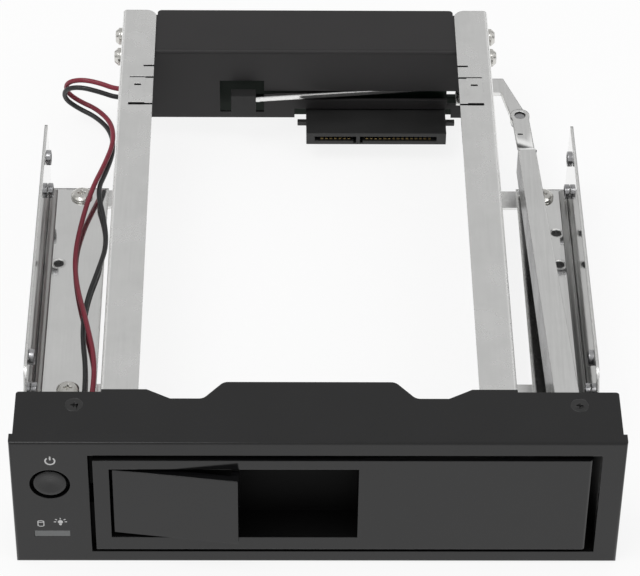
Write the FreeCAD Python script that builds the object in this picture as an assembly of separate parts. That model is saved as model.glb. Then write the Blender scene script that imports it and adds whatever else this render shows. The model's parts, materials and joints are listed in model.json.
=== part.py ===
"""Hot swap drive cage: a trayless 5.25 inch bay rack that takes one bare 3.5 inch drive.

Millimetres, +Z up, +Y towards the rear.  The pieces are drawn with Y = 0 on the bezel's front
face and Z = 0 on the standing surface, then all are moved along Y by the same amount, so that
the origin ends under the middle of the assembly.
"""
import FreeCAD, Part
import math
import os

V = FreeCAD.Vector

# ---- overall ---------------------------------------------------------------------------------
BEZEL_W = 148.6          # front plate, wider than the 146 mm bay
BEZEL_H = 41.5           # front plate height, one half-height bay
REAR_Y = 183.3           # rear end of the rails
BAY_W = 146.0            # across the side brackets, which slide into the computer's bay
BRACKET_SHIFT = -1.1     # middle of the brackets
BAY_X = -2.0             # middle of the drive, left of the middle to leave room for the push rod
DRIVE_CLEAR_W = 102.0    # between the rails: a 101.6 mm drive and its clearance
FIT = 0.05               # radial clearance of a pin that turns in its hole
SEAT = 0.02              # radial clearance of a pin or screw that is held in its hole
EDGE_GAP = 0.3           # clearance between pieces that only pass each other
NEAR = 0.05              # how closely an edge has to lie to the place given for it

# ---- sheet metal -----------------------------------------------------------------------------
SHEET = 0.8              # thickness of rails, brackets, cover and push rod
BEND_R = 1.2             # outer bend radius of the sheet
RAIL_TOP = 32.0
RAIL_BOTTOM = 3.1
RAIL_FLANGE_TOP = 9.5    # width of the top flange, wall included
RAIL_FLANGE_BOTTOM = 5.0
RAIL_CORNER_R = 3.0
FOOT_LEN = 7.0           # length along Y of each foot that carries a side bracket
FOOT_FRONT_Y = 59.0
FOOT_REAR_Y = 137.2
STAMP_W = 0.7            # width of the slots stamped in the top flange
STAMP_EDGE = 2.9         # metal left between a stamped slot and the wall
STAMP_AHEAD = (42.4, 30.7)   # the two long slots, ahead of the rail's rear end
STAMP_SHORT_AHEAD = 25.5     # slot that reaches only half as far from the flange's edge
STAMP_DASH_AHEAD = 34.2      # short slot in the pad between the long ones
STAMP_DASH = (1.4, 3.3)  # its ends, from the ends of the long slots
PAD_RISE = 0.25          # pad pressed up between the long slots
PAD_EDGE = 4.4           # from the ends of the long slots to the pad's inner edge

# ---- side brackets ---------------------------------------------------------------------------
BRACKET_REAR = 140.7
BRACKET_TOP = 24.5
BRACKET_LOW_TOP = 12.0   # height of the wall in front of its slope
BRACKET_SLOPE_REAR = 44.0
BRACKET_SLOPE_FRONT = 34.0
BRACKET_INNER_X = 57.2   # inner edge of the bottom plate, from the middle of the cage
BRACKET_FRONT_R = 6.0    # rounding of the wall's top front corner
BAY_HOLE_R = 1.5         # M3 holes that the computer's bay screws use
BAY_HOLE_PITCH = 79.25
BAY_HOLE_FIRST_Y = 50.6
BAY_HOLE_LOW_Z = 10.0
BAY_HOLE_HIGH_Z = 21.84
PLATE_HOLE_R = 1.4
PLATE_HOLE_INSET = 4.5   # from the wall's outer face
PLATE_HOLE_Y = (109.0, 122.0)

# ---- bezel -----------------------------------------------------------------------------------
PLATE_T = 3.2
PLATE_EDGE_R = 0.7
HOOD_INSET_X = 0.8       # step from the plate's edge to the hood behind it
HOOD_INSET_Z = 0.6
HOOD_WALL = 1.8
HOOD_REAR = 18.3
HOOD_CORNER_R = 0.8
HOOD_LIP = 0.9           # the top reaches this much further back over each rail
HOOD_LIP_OUT = 50.8      # half width of that stretch
HOOD_FLOOR_REAR = 12.0   # the floor stops short between its corners
NOTCH_Y = 16.0           # bottom of the notch in the hood's top
NOTCH_OUT = 39.75        # half widths of the notch and the hump in it, from the bay's middle
NOTCH_IN = 33.95
HUMP_FOOT = 25.9
HUMP_TOP = 21.0
HUMP_Y = 21.8
HUMP_R = 2.4
MARGIN_LEFT = 18.8       # from the plate's edges to the door's opening
MARGIN_RIGHT = 5.8
OPENING_BOTTOM = 3.7
OPENING_TOP = 37.3

# ---- door ------------------------------------------------------------------------------------
DOOR_GAP_LEFT = 1.2      # between the opening's edges and the door
DOOR_GAP_RIGHT = 2.2
DOOR_BOTTOM = 5.1
DOOR_TOP = 36.0
DOOR_PROUD = 0.5
DOOR_SKIN = 1.4
DOOR_DEPTH = 3.5         # from the door's face to the back edge of its rim
DOOR_RIM = 1.2
DOOR_EDGE_R = 1.0
DOOR_RIB_PLACES = (0.16, 0.4, 0.64)  # shares of the way from the pocket to the hinge
DOOR_RIB_T = 1.2
HINGE_INSET = 7.9        # from the opening's right edge
HINGE_Y = 5.0
HINGE_PIN_R = 1.0
KNUCKLE_R = 2.4
KNUCKLE_H = 4.6
HINGE_BLOCK = 3.2        # half width of the block that holds each pin
CRANK_R = 2.6            # from the hinge's axis to the crank pin
CRANK_ANGLE = -40.0
CRANK_PIN_R = 0.8
CRANK_LUG_R = 1.9
CRANK_LUG_T = 2.1
CRANK_LUG_GAP = 0.4      # above and below the push rod's hook
SHROUD_R = 9.0           # inner radius of the bezel's shroud round the door's hinge end
SHROUD_T = 1.2
SHROUD_TURN = 46.0       # degrees that it reaches round, from straight to the right
LEDGE_REACH = 2.1        # stop ledge behind the door's left edge, into the opening
LEDGE_T = 1.6

# ---- handle ----------------------------------------------------------------------------------
RECESS_INSET = 3.8       # from the door's left edge to the handle's recess
RECESS_LEN = 31.5
POCKET_LEN = 28.9
RECESS_BOTTOM = 9.3
RECESS_TOP = 33.1
RECESS_DEPTH = 4.4       # Y of the recess floor behind the handle
POCKET_DEPTH = 9.0       # Y of the finger pocket's floor
RECESS_WALL = 1.2
HANDLE_GAP = 1.0         # between the recess's left end and the handle
HANDLE_LEN = 30.7
HANDLE_H = 21.8
HANDLE_T = 2.0
HANDLE_LIP = 1.8         # depth of the grip's lip at its free end
HANDLE_PIVOT_INSET = 5.5 # from the handle's left end
HANDLE_PIVOT_Y = 2.2
HANDLE_PIN_R = 0.75
HANDLE_KNUCKLE_R = 1.7
HANDLE_KNUCKLE_H = 3.0
HANDLE_OUT = 7.5         # degrees that the handle stands out of the door at rest
NOSE_H = 6.0
NOSE_HOLD = 0.45         # how far the latch nose reaches behind the opening's edge when flush
NOSE_FRONT = 3.9
NOSE_REAR = 7.2
NOSE_ARM_T = 1.6
SPRING_T = 0.3
SPRING_H = 5.0

# ---- button, light and front board -----------------------------------------------------------
BUTTON_INSET = 9.4       # from the plate's left edge
BUTTON_Z = 27.4
BUTTON_RING_R = 4.95     # shallow ring round the button
BUTTON_RING_DEPTH = 2.0
BUTTON_R = 4.1
BUTTON_FLANGE_R = 5.2
BUTTON_FLANGE_T = 1.0
BUTTON_DISH = 0.5
BUTTON_TRAVEL = 1.0
LIGHT_REACH = (4.5, 4.3) # to the left and to the right of the button's middle
LIGHT_Z = (9.15, 11.1)
BOARD_T = 1.2
FRONT_BOARD_Y = 9.0
FRONT_BOARD_REACH = (5.8, 6.1)
FRONT_BOARD_Z = (4.6, 30.6)
FRONT_BOSS_REACH = (3.9, 4.1)
FRONT_BOSS_Z = 18.0
BOSS_R = 1.9
SWITCH_W = 6.0
SWITCH_BODY = 2.4
SWITCH_PLUNGER_R = 1.7
LED_W = 2.0
LED_T = 0.9

# ---- rear cover and backplane ----------------------------------------------------------------
COVER_LEN = 18.0         # from the rails' rear end to the cover's wall
COVER_BOTTOM = 7.4
COVER_SIDE_BOTTOM = 23.4
COVER_REAR = 1.0         # how far the cover's top reaches past the rails
COVER_SLOT_TOP = 17.1    # slot that the ejector swings through
COVER_SLOT_BOTTOM = 13.9
COVER_SLOT_LOW = 12.2    # its lower edge where the ejector's bearing passes
COVER_SLOT_STEP_X = 38.4
COVER_SLOT_LEFT = -13.7
COVER_GATE_X = (-5.0, 39.6)  # cut-out over the receptacle
COVER_GATE_TOP = 10.6
COVER_WINDOW = (-26.2, 9.4, 20.7)   # left edge, bottom and top of the ejector's window
COVER_SCREW_BACK = (2.9, 12.2)   # behind the cover's wall
COVER_SCREW_Z = 26.9
BACK_BOARD_X = (-30.0, 38.5)
BACK_BOARD_Z = (4.4, 27.0)
BACK_BOARD_BACK = 5.1
BACK_BOARD_T = 1.6
STANDOFF_X = (-8.5, 33.5)
STANDOFF_Z = 23.0
STANDOFF_R = 2.2
RECEPTACLE_X = (-1.7, 37.9)
RECEPTACLE_Z = (6.0, 10.0)
RECEPTACLE_LEN = 15.4
RECEPTACLE_EAR = 2.5     # how far each ear reaches sideways
RECEPTACLE_EAR_BACK = (5.0, 6.4)   # behind its front face
RECEPTACLE_EAR_T = 1.3
DATA_SLOT = (0.7, 12.4)
POWER_SLOT = (13.5, 35.2)
SLOT_H = 1.5
SLOT_DEPTH = 6.0
CONTACT_PITCH = 1.27
DATA_CONTACTS = 7
POWER_CONTACTS = 15
CONTACT_W = 0.8
CONTACT_T = 0.3
REAR_DATA_X = (-5.5, 9.0)
REAR_POWER_X = (12.0, 36.0)
REAR_SOCKET_Z = (7.0, 12.0)
REAR_SOCKET_LEN = 7.5
SOCKET_WALL = 0.9
HEADER_X = (-11.8, -5.4)
HEADER_Z = (14.6, 19.2)
HEADER_LEN = 6.0

# ---- ejector ---------------------------------------------------------------------------------
PIVOT_X = 45.0
PIVOT_BACK = 3.7         # behind the cover's wall
PIVOT_R = 2.0
PIVOT_TAB_Z = 13.3       # underside of the tab that is lanced out of the right rail
PIVOT_TAB_X = 40.8
PIVOT_TAB_REACH = (5.4, 5.4)   # ahead of the pivot and behind it
RAIL_WINDOW_REACH = (8.4, 6.4)
RAIL_WINDOW_TOP = 22.4
LEVER_T = 1.5
LEVER_HUB_R = 4.2
LEVER_RUN = 0.1          # gap between flat pieces that slide on each other
LEVER_RISE = 1.0         # joggle that lifts the long arm above the hub
LEVER_ARM_W = 1.6
LEVER_LINE = ((-16.4, 6.4), (24.4, 2.2))   # its front edge: X, and ahead of the pivot
LEVER_ELBOW_X = 54.6     # outer corner of the short arm, outside the rail
LEVER_ELBOW_BACK = 3.9
LEVER_SHORT_W = 4.5
ROD_PIN_X = 58.4
ROD_PIN_AHEAD = 13.7     # ahead of the pivot
ROD_PIN_R = 1.5
LEVER_EYE_R = 2.7
BOOT_X = (-23.0, -16.0)
BOOT_AHEAD = (8.0, 4.6)
BOOT_Z = (11.3, 18.4)
BOOT_WALL = 0.9

# ---- push rod --------------------------------------------------------------------------------
ROD_WEB_TOP = 21.5
ROD_HOOK_HALF = 1.95     # half width of the hook round the crank pin
ROD_HOOK_BACK = 2.5      # from the crank pin to the hook's closed side
ROD_HOOK_TIP = 1.2       # from the crank pin to the tips of its two prongs
ROD_SLOT_HALF = 1.1      # half width of the hook's slot
ROD_SLOT_BACK = 1.5
ROD_NECK_REACH = (1.9, 1.5)    # to the left and to the right of the hinge's axis
ROD_NECK_REAR = 14.0
ROD_WIDE_Y = 22.0
ROD_WIDE_INSET = (12.1, 5.6)   # from the right end of the bay's width
ROD_STEP_AHEAD = (21.3, 14.3)  # the sloped step to the tail, ahead of the rod's pin
ROD_NARROW_X = (56.4, 61.3)
ROD_TAIL_X = (56.9, 61.6)
ROD_DEPTH_FRONT = 14.0
ROD_DEPTH_REAR = 8.0
ROD_MARK_X = 58.0        # short slot stamped in the tail
ROD_MARK_AHEAD = 8.4
ROD_MARK_SIZE = (1.4, 0.5)

# ---- screws ----------------------------------------------------------------------------------
FOOT_SCREW_OFF = 0.5     # from the middle of the bracket's plate
FOOT_TIP = 3.7           # metal of the foot beyond the screw's middle
FOOT_SCREW_R = 1.5
FOOT_HEAD_R = 3.0
FOOT_HEAD_H = 1.4
HEAD_SLOPE = 0.35        # share of a pan head's radius that its sloped rim takes
TOP_SCREW_R = 1.4
TOP_SCREW_HEAD_R = 2.3
TOP_SCREW_INSET = (15.1, 10.7)   # from the plate's left and right edges
TOP_SCREW_Y = 13.8
TOP_BOSS_R = 2.6
COVER_SCREW_R = 1.25
COVER_HEAD_R = 2.5
COVER_HEAD_H = 2.0
SMALL_SCREW_R = 0.9
SMALL_HEAD_R = 1.8
SMALL_HEAD_H = 1.2

# ---- leads -----------------------------------------------------------------------------------
LEAD_R = 0.7
LEAD_ARC = 0.45          # share of the shorter run that an arc uses up
LEAD_HOLE_R = 2.8
PLUG_REACH = (1.7, 3.5)
PLUG_Z = (4.9, 9.3)
PLUG_LEN = 5.4
RED_ROUTE = [
    (-11.8, 175.6, 18.0), (-19.6, 175.6, 18.0), (-33.0, 173.4, 17.4), (-45.6, 169.4, 15.4),
    (-54.6, 167.8, 15.0), (-61.2, 169.6, 16.6), (-66.2, 170.8, 16.6), (-70.2, 172.3, 14.2),
    (-70.4, 173.7, 9.7), (-67.0, 173.7, 6.4), (-61.6, 171.2, 5.4), (-57.2, 165.0, 5.3),
    (-56.3, 156.4, 5.5), (-58.4, 146.4, 5.7), (-61.4, 136.4, 5.7), (-63.8, 125.0, 4.0),
    (-65.4, 111.0, 2.6), (-64.1, 97.6, 3.2), (-60.8, 83.0, 4.5), (-57.4, 66.0, 4.0),
    (-58.6, 48.0, 3.2), (-61.4, 33.4, 4.4), (-62.6, 23.6, 7.1), (-62.6, 15.6, 7.1)]
BLACK_ROUTE = [
    (-11.8, 175.6, 15.8), (-19.4, 175.6, 15.8), (-33.0, 173.0, 15.0), (-45.4, 168.6, 12.6),
    (-54.8, 167.6, 12.2), (-61.0, 168.2, 14.4), (-66.4, 169.2, 15.2), (-70.6, 170.7, 13.1),
    (-70.9, 172.0, 8.6), (-67.3, 171.9, 5.3), (-61.8, 169.3, 4.0), (-57.4, 163.4, 3.6),
    (-56.3, 154.6, 3.7), (-58.0, 145.0, 4.0), (-60.2, 136.0, 4.8), (-57.9, 126.2, 3.2),
    (-56.7, 115.6, 2.4), (-58.5, 106.0, 2.4), (-61.2, 93.6, 2.3), (-61.9, 80.6, 2.3),
    (-60.1, 66.0, 2.4), (-60.2, 50.0, 2.6), (-63.8, 36.0, 4.2), (-65.4, 25.0, 7.1),
    (-65.4, 15.6, 7.1)]

# ---- worked out from the sizes above ---------------------------------------------------------
BUTTON_X = BUTTON_INSET - BEZEL_W / 2
PLUG_X = (BUTTON_X - PLUG_REACH[0], BUTTON_X + PLUG_REACH[1])
OPENING_LEFT = MARGIN_LEFT - BEZEL_W / 2
OPENING_RIGHT = BEZEL_W / 2 - MARGIN_RIGHT
DOOR_LEFT = OPENING_LEFT + DOOR_GAP_LEFT
DOOR_RIGHT = OPENING_RIGHT - DOOR_GAP_RIGHT
HINGE_X = OPENING_RIGHT - HINGE_INSET
RECESS_LEFT = DOOR_LEFT + RECESS_INSET
POCKET_LEFT = RECESS_LEFT + RECESS_LEN
POCKET_RIGHT = POCKET_LEFT + POCKET_LEN
HANDLE_LEFT = RECESS_LEFT + HANDLE_GAP
HANDLE_RIGHT = HANDLE_LEFT + HANDLE_LEN
HANDLE_PIVOT_X = HANDLE_LEFT + HANDLE_PIVOT_INSET
NOSE_TIP_X = OPENING_LEFT - NOSE_HOLD
LIGHT_X = (BUTTON_X - LIGHT_REACH[0], BUTTON_X + LIGHT_REACH[1])
FRONT_BOARD_X = (BUTTON_X - FRONT_BOARD_REACH[0], BUTTON_X + FRONT_BOARD_REACH[1])
FRONT_BOSS_X = (BUTTON_X - FRONT_BOSS_REACH[0], BUTTON_X + FRONT_BOSS_REACH[1])
TOP_SCREW_X = (TOP_SCREW_INSET[0] - BEZEL_W / 2, BEZEL_W / 2 - TOP_SCREW_INSET[1])
STAMP_Y = [REAR_Y - ahead for ahead in STAMP_AHEAD]
STAMP_SHORT_Y = REAR_Y - STAMP_SHORT_AHEAD
STAMP_DASH_Y = REAR_Y - STAMP_DASH_AHEAD
COVER_FRONT = REAR_Y - COVER_LEN
COVER_SCREW_Y = [COVER_FRONT + back for back in COVER_SCREW_BACK]
BACK_BOARD_Y = COVER_FRONT + BACK_BOARD_BACK
RECEPTACLE_FRONT = BACK_BOARD_Y - RECEPTACLE_LEN
RECEPTACLE_EAR_Y = [RECEPTACLE_FRONT + back for back in RECEPTACLE_EAR_BACK]
PIVOT_Y = COVER_FRONT + PIVOT_BACK
PIVOT_TAB_Y = (PIVOT_Y - PIVOT_TAB_REACH[0], PIVOT_Y + PIVOT_TAB_REACH[1])
RAIL_WINDOW_Y = (PIVOT_Y - RAIL_WINDOW_REACH[0], PIVOT_Y + RAIL_WINDOW_REACH[1])
LEVER_FRONT_A, LEVER_FRONT_B = [(x, PIVOT_Y - ahead) for x, ahead in LEVER_LINE]
BOOT_Y = [PIVOT_Y - ahead for ahead in BOOT_AHEAD]
ROD_PIN_Y = PIVOT_Y - ROD_PIN_AHEAD
ROD_NARROW_Y, ROD_JOG_REAR = [ROD_PIN_Y - ahead for ahead in ROD_STEP_AHEAD]
ROD_NECK_X = (HINGE_X - ROD_NECK_REACH[0], HINGE_X + ROD_NECK_REACH[1])
ROD_WIDE_X = [BAY_W / 2 - inset for inset in ROD_WIDE_INSET]
FOOT_SCREW_X = (BRACKET_INNER_X + BAY_W / 2) / 2 - FOOT_SCREW_OFF
FOOT_TIP_X = FOOT_SCREW_X + FOOT_TIP
HOOD_X = BEZEL_W / 2 - HOOD_INSET_X
HOOD_TOP = BEZEL_H - HOOD_INSET_Z
HOOD_CEILING = HOOD_TOP - HOOD_WALL
HOOD_FLOOR = HOOD_INSET_Z + HOOD_WALL
DOOR_BACK = DOOR_SKIN - DOOR_PROUD
HANDLE_Z = ((RECESS_TOP + RECESS_BOTTOM - HANDLE_H) / 2, (RECESS_TOP + RECESS_BOTTOM + HANDLE_H) / 2)
MID_Z = (RECESS_TOP + RECESS_BOTTOM) / 2
ROD_WEB_BOTTOM = ROD_WEB_TOP - SHEET
CRANK_X = HINGE_X + CRANK_R * math.cos(math.radians(CRANK_ANGLE))
CRANK_Y = HINGE_Y + CRANK_R * math.sin(math.radians(CRANK_ANGLE))
PIVOT_TAB_TOP = PIVOT_TAB_Z + SHEET
LEVER_Z = PIVOT_TAB_TOP + LEVER_RUN
LEVER_TOP = LEVER_Z + LEVER_T
ROD_TAIL_Z = LEVER_TOP + LEVER_RUN
COVER_TOP = RAIL_TOP - SHEET
STEEL_TOP = 2 * SHEET    # top of a bracket's plate, which lies on the rail's feet
BACK_BOARD_REAR = BACK_BOARD_Y + BACK_BOARD_T
FRONT_BOARD_REAR = FRONT_BOARD_Y + BOARD_T
RAIL_FRONT = FRONT_BOARD_REAR + SMALL_HEAD_H + EDGE_GAP
BUTTON_BACK = PLATE_T + EDGE_GAP + BUTTON_FLANGE_T
SWITCH_TIP = BUTTON_BACK + BUTTON_TRAVEL + LEVER_RUN
DOOR_RIB_X = [POCKET_RIGHT + share * (HINGE_X - POCKET_RIGHT) for share in DOOR_RIB_PLACES]


# ---- helpers ---------------------------------------------------------------------------------
def box(x, y, z):
    """Box between pairs of coordinates given in any order."""
    lo = [min(pair) for pair in (x, y, z)]
    size = [abs(pair[1] - pair[0]) for pair in (x, y, z)]
    return Part.makeBox(size[0], size[1], size[2], V(*lo))


def upright(x, y, r, z0, z1):
    """Cylinder along Z."""
    return Part.makeCylinder(r, z1 - z0, V(x, y, z0), V(0, 0, 1))


def along_y(x, z, r, y0, y1):
    """Cylinder along Y."""
    return Part.makeCylinder(r, y1 - y0, V(x, y0, z), V(0, 1, 0))


def along_x(y, z, r, x0, x1):
    """Cylinder along X, between two coordinates in any order."""
    return Part.makeCylinder(r, abs(x1 - x0), V(min(x0, x1), y, z), V(1, 0, 0))


def plate(points, z0, z1):
    """Flat plate of a closed outline in XY, between two heights."""
    corners = [V(x, y, z0) for x, y in points]
    face = Part.Face(Part.makePolygon(corners + corners[:1]))
    return face.extrude(V(0, 0, z1 - z0))


def side_plate(points, x0, x1):
    """Flat plate of a closed outline in YZ, between two values of X."""
    corners = [V(min(x0, x1), y, z) for y, z in points]
    face = Part.Face(Part.makePolygon(corners + corners[:1]))
    return face.extrude(V(abs(x1 - x0), 0, 0))


def bar(p, q, width, z0, z1):
    """Straight flat bar between two points in XY, square at its ends."""
    length = math.hypot(q[0] - p[0], q[1] - p[1])
    nx = -(q[1] - p[1]) / length * width / 2
    ny = (q[0] - p[0]) / length * width / 2
    return plate([(p[0] + nx, p[1] + ny), (q[0] + nx, q[1] + ny),
                  (q[0] - nx, q[1] - ny), (p[0] - nx, p[1] - ny)], z0, z1)


def joined(first, *others):
    """One solid from several that meet."""
    return first.fuse(list(others)).removeSplitter()


def cut(body, *tools):
    return body.cut(list(tools))


def edges_at(shape, direction, places, reach=NEAR):
    """Straight edges along a direction that pass through one of the places; None is any value."""
    found = []
    for edge in shape.Edges:
        if len(edge.Vertexes) != 2:
            continue
        a, b = edge.Vertexes[0].Point, edge.Vertexes[1].Point
        if (b - a).cross(V(*direction)).Length > reach * (b - a).Length:
            continue
        middle = (a + b) / 2
        for place in places:
            if all(want is None or abs(have - want) < reach for want, have in zip(place, middle)):
                found.append(edge)
                break
    return found


def rounded(shape, radius, direction, places):
    """Fillet the edges found by edges_at."""
    return shape.makeFillet(radius, edges_at(shape, direction, places))


def pan_screw(seat, out, head, shaft):
    """Pan-head screw: head and shaft are (radius, length), on both sides of the seat's plane."""
    head_r, head_h = head
    shaft_r, shaft_len = shaft
    slope = HEAD_SLOPE * head_r
    rim = Part.makeCylinder(head_r, head_h / 2, seat, out)
    dome = Part.makeCone(head_r, head_r - slope, head_h / 2, seat + out * (head_h / 2), out)
    return joined(rim, dome, Part.makeCylinder(shaft_r, shaft_len, seat, -out))


def tube(points, radius):
    """Round lead: straight runs joined by arcs that touch both runs.  Returns solid, length, radii."""
    corners = [V(*point) for point in points]
    edges = []
    radii = []
    start = corners[0]
    for before, corner, after in zip(corners, corners[1:], corners[2:]):
        inward = (before - corner).normalize()
        onward = (after - corner).normalize()
        run = min((before - corner).Length, (after - corner).Length)
        half = (math.pi - inward.getAngle(onward)) / 2
        setback = LEAD_ARC * run
        arc_r = setback / math.tan(half)
        to_centre = (inward + onward).normalize()
        first = corner + inward * setback
        last = corner + onward * setback
        middle = corner + to_centre * (arc_r / math.cos(half) - arc_r)
        edges.append(Part.LineSegment(start, first).toShape())
        edges.append(Part.Arc(first, middle, last).toShape())
        radii.append(arc_r)
        start = last
    edges.append(Part.LineSegment(start, corners[-1]).toShape())
    path = Part.Wire(edges)
    tangent = (corners[1] - corners[0]).normalize()
    section = Part.Wire(Part.makeCircle(radius, corners[0], tangent))
    return path.makePipeShell([section], True, True), path.Length, radii


# ---- rails -----------------------------------------------------------------------------------
def wall_inner(side):
    return BAY_X + side * DRIVE_CLEAR_W / 2


def wall_outer(side):
    return wall_inner(side) + side * SHEET


def rail(side):
    """C-section rail with feet for the side bracket and an ear that carries the bezel."""
    outer, inner = wall_outer(side), wall_inner(side)
    y = (RAIL_FRONT, REAR_Y)
    top_edge = outer - side * RAIL_FLANGE_TOP
    body = joined(
        box((outer, inner), y, (RAIL_BOTTOM, RAIL_TOP)),
        box((outer, top_edge), y, (COVER_TOP, RAIL_TOP)),
        box((outer, inner - side * RAIL_FLANGE_BOTTOM), y, (RAIL_BOTTOM, RAIL_BOTTOM + SHEET)))
    body = rounded(body, BEND_R, (0, 1, 0), [(outer, None, RAIL_TOP), (outer, None, RAIL_BOTTOM)])
    body = rounded(body, RAIL_CORNER_R, (0, 0, 1), [(top_edge, REAR_Y, None)])
    for foot_y in (FOOT_FRONT_Y, FOOT_REAR_Y):
        body = joined(body, rail_foot(side, foot_y))
    body = joined(body, stamped_pad(side))
    ear_y = (TOP_SCREW_Y - TOP_BOSS_R, TOP_SCREW_Y + TOP_BOSS_R)
    screw_x = TOP_SCREW_X[0] if side < 0 else TOP_SCREW_X[1]
    ear = box((inner, screw_x + side * TOP_BOSS_R), ear_y, (COVER_TOP, RAIL_TOP))
    body = joined(body, ear)
    holes = [upright(screw_x, TOP_SCREW_Y, TOP_SCREW_R + SEAT, COVER_TOP - SHEET, RAIL_TOP + SHEET)]
    holes += rail_stamps(side)
    for y_screw in COVER_SCREW_Y:
        holes.append(along_x(y_screw, COVER_SCREW_Z, COVER_SCREW_R + SEAT,
                             outer + side * SHEET, inner - side * SHEET))
    return cut(body, *holes)


def rail_foot(side, y):
    """Tongue that drops from the rail's wall to the standing surface and turns outwards."""
    outer, inner = wall_outer(side), wall_inner(side)
    span = (y - FOOT_LEN / 2, y + FOOT_LEN / 2)
    foot = joined(box((outer, inner), span, (0, RAIL_BOTTOM + BEND_R)),
                  box((inner, side * FOOT_TIP_X), span, (0, SHEET)))
    return cut(foot, upright(side * FOOT_SCREW_X, y, FOOT_SCREW_R + SEAT, -SHEET, STEEL_TOP))


def rail_stamps(side):
    """Slots and the lance stamped in the top flange near its rear end."""
    outer = wall_outer(side)
    inner_edge = outer - side * (RAIL_FLANGE_TOP + SHEET)
    wall_edge = outer - side * STAMP_EDGE
    z = (COVER_TOP - SHEET, RAIL_TOP + SHEET)
    slots = []
    for y in STAMP_Y:
        slots.append(box((inner_edge, wall_edge), (y - STAMP_W / 2, y + STAMP_W / 2), z))
    slots.append(box((inner_edge, (inner_edge + wall_edge) / 2),
                     (STAMP_SHORT_Y - STAMP_W / 2, STAMP_SHORT_Y + STAMP_W / 2), z))
    slots.append(box([wall_edge - side * reach for reach in STAMP_DASH],
                     (STAMP_DASH_Y - STAMP_W / 2, STAMP_DASH_Y + STAMP_W / 2), z))
    return slots


def stamped_pad(side):
    """Low pad that is pressed up between the two long slots."""
    wall_edge = wall_outer(side) - side * STAMP_EDGE
    return box((wall_edge, wall_edge - side * PAD_EDGE), STAMP_Y, (COVER_TOP, RAIL_TOP + PAD_RISE))


def rail_left():
    """The left rail has a hole for the leads, midway between them."""
    body = rail(-1)
    passing = [V(*min(route, key=lambda point: abs(point[0] - wall_outer(-1))))
               for route in (RED_ROUTE, BLACK_ROUTE)]
    middle = (passing[0] + passing[1]) / 2
    return cut(body, along_x(middle.y, middle.z, LEAD_HOLE_R,
                             wall_outer(-1) - SHEET, wall_inner(-1) + SHEET))


def rail_right():
    """The right rail has a window for the ejector, whose metal is turned inwards as its bearing."""
    inner, outer = wall_inner(1), wall_outer(1)
    window = box((inner - SHEET, outer + SHEET), RAIL_WINDOW_Y, (PIVOT_TAB_TOP, RAIL_WINDOW_TOP))
    tab = box((inner, PIVOT_TAB_X), PIVOT_TAB_Y, (PIVOT_TAB_Z, PIVOT_TAB_TOP))
    body = joined(cut(rail(1), window), tab)
    return cut(body, upright(PIVOT_X, PIVOT_Y, PIVOT_R + SEAT, PIVOT_TAB_Z - SHEET, LEVER_Z))


# ---- side brackets ---------------------------------------------------------------------------
def bracket(side):
    """L-section bracket with the bay's standard screw holes in its wall."""
    outer = BRACKET_SHIFT + side * BAY_W / 2
    inner = outer - side * SHEET
    front = HOOD_REAR + EDGE_GAP
    wall = side_plate([(front, SHEET), (BRACKET_REAR, SHEET), (BRACKET_REAR, BRACKET_TOP),
                       (BRACKET_SLOPE_REAR, BRACKET_TOP), (BRACKET_SLOPE_FRONT, BRACKET_LOW_TOP),
                       (front, BRACKET_LOW_TOP)], outer, inner)
    wall = rounded(wall, BRACKET_FRONT_R, (1, 0, 0), [(None, BRACKET_SLOPE_REAR, BRACKET_TOP)])
    base = box((outer, side * BRACKET_INNER_X), (front, BRACKET_REAR), (SHEET, STEEL_TOP))
    body = joined(wall, base)
    body = rounded(body, BEND_R, (0, 1, 0), [(outer, None, SHEET)])
    holes = []
    for y in (BAY_HOLE_FIRST_Y, BAY_HOLE_FIRST_Y + BAY_HOLE_PITCH):
        for z in (BAY_HOLE_LOW_Z, BAY_HOLE_HIGH_Z):
            holes.append(along_x(y, z, BAY_HOLE_R, outer + side * SHEET, inner - side * SHEET))
    for y in (FOOT_FRONT_Y, FOOT_REAR_Y):
        holes.append(upright(side * FOOT_SCREW_X, y, FOOT_SCREW_R + SEAT, 0, STEEL_TOP + SHEET))
    for y in PLATE_HOLE_Y[:1] if side < 0 else PLATE_HOLE_Y:
        holes.append(upright(outer - side * PLATE_HOLE_INSET, y, PLATE_HOLE_R, 0, STEEL_TOP + SHEET))
    return cut(body, *holes)


def bracket_screws():
    """Pan-head screws that hold the brackets on the rails' feet."""
    screws = []
    for side in (-1, 1):
        for y in (FOOT_FRONT_Y, FOOT_REAR_Y):
            x = side * FOOT_SCREW_X
            screws.append(pan_screw(V(x, y, STEEL_TOP), V(0, 0, 1), (FOOT_HEAD_R, FOOT_HEAD_H),
                                    (FOOT_SCREW_R, STEEL_TOP)))
    return Part.makeCompound(screws)


# ---- bezel -----------------------------------------------------------------------------------
def hood_outline():
    """Rear edge of the hood's top: shoulders, a notch and the hump in the notch."""
    lip = HOOD_REAR + HOOD_LIP
    half = [(HOOD_LIP_OUT, HOOD_REAR), (HOOD_LIP_OUT, lip), (NOTCH_OUT, lip), (NOTCH_IN, NOTCH_Y),
            (HUMP_FOOT, NOTCH_Y), (HUMP_TOP, HUMP_Y)]
    right = [(BAY_X + x, y) for x, y in half]
    left = [(BAY_X - x, y) for x, y in reversed(half)]
    return [(HOOD_X, PLATE_T), (HOOD_X, HOOD_REAR)] + right + left + [(-HOOD_X, HOOD_REAR),
                                                                     (-HOOD_X, PLATE_T)]


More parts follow.
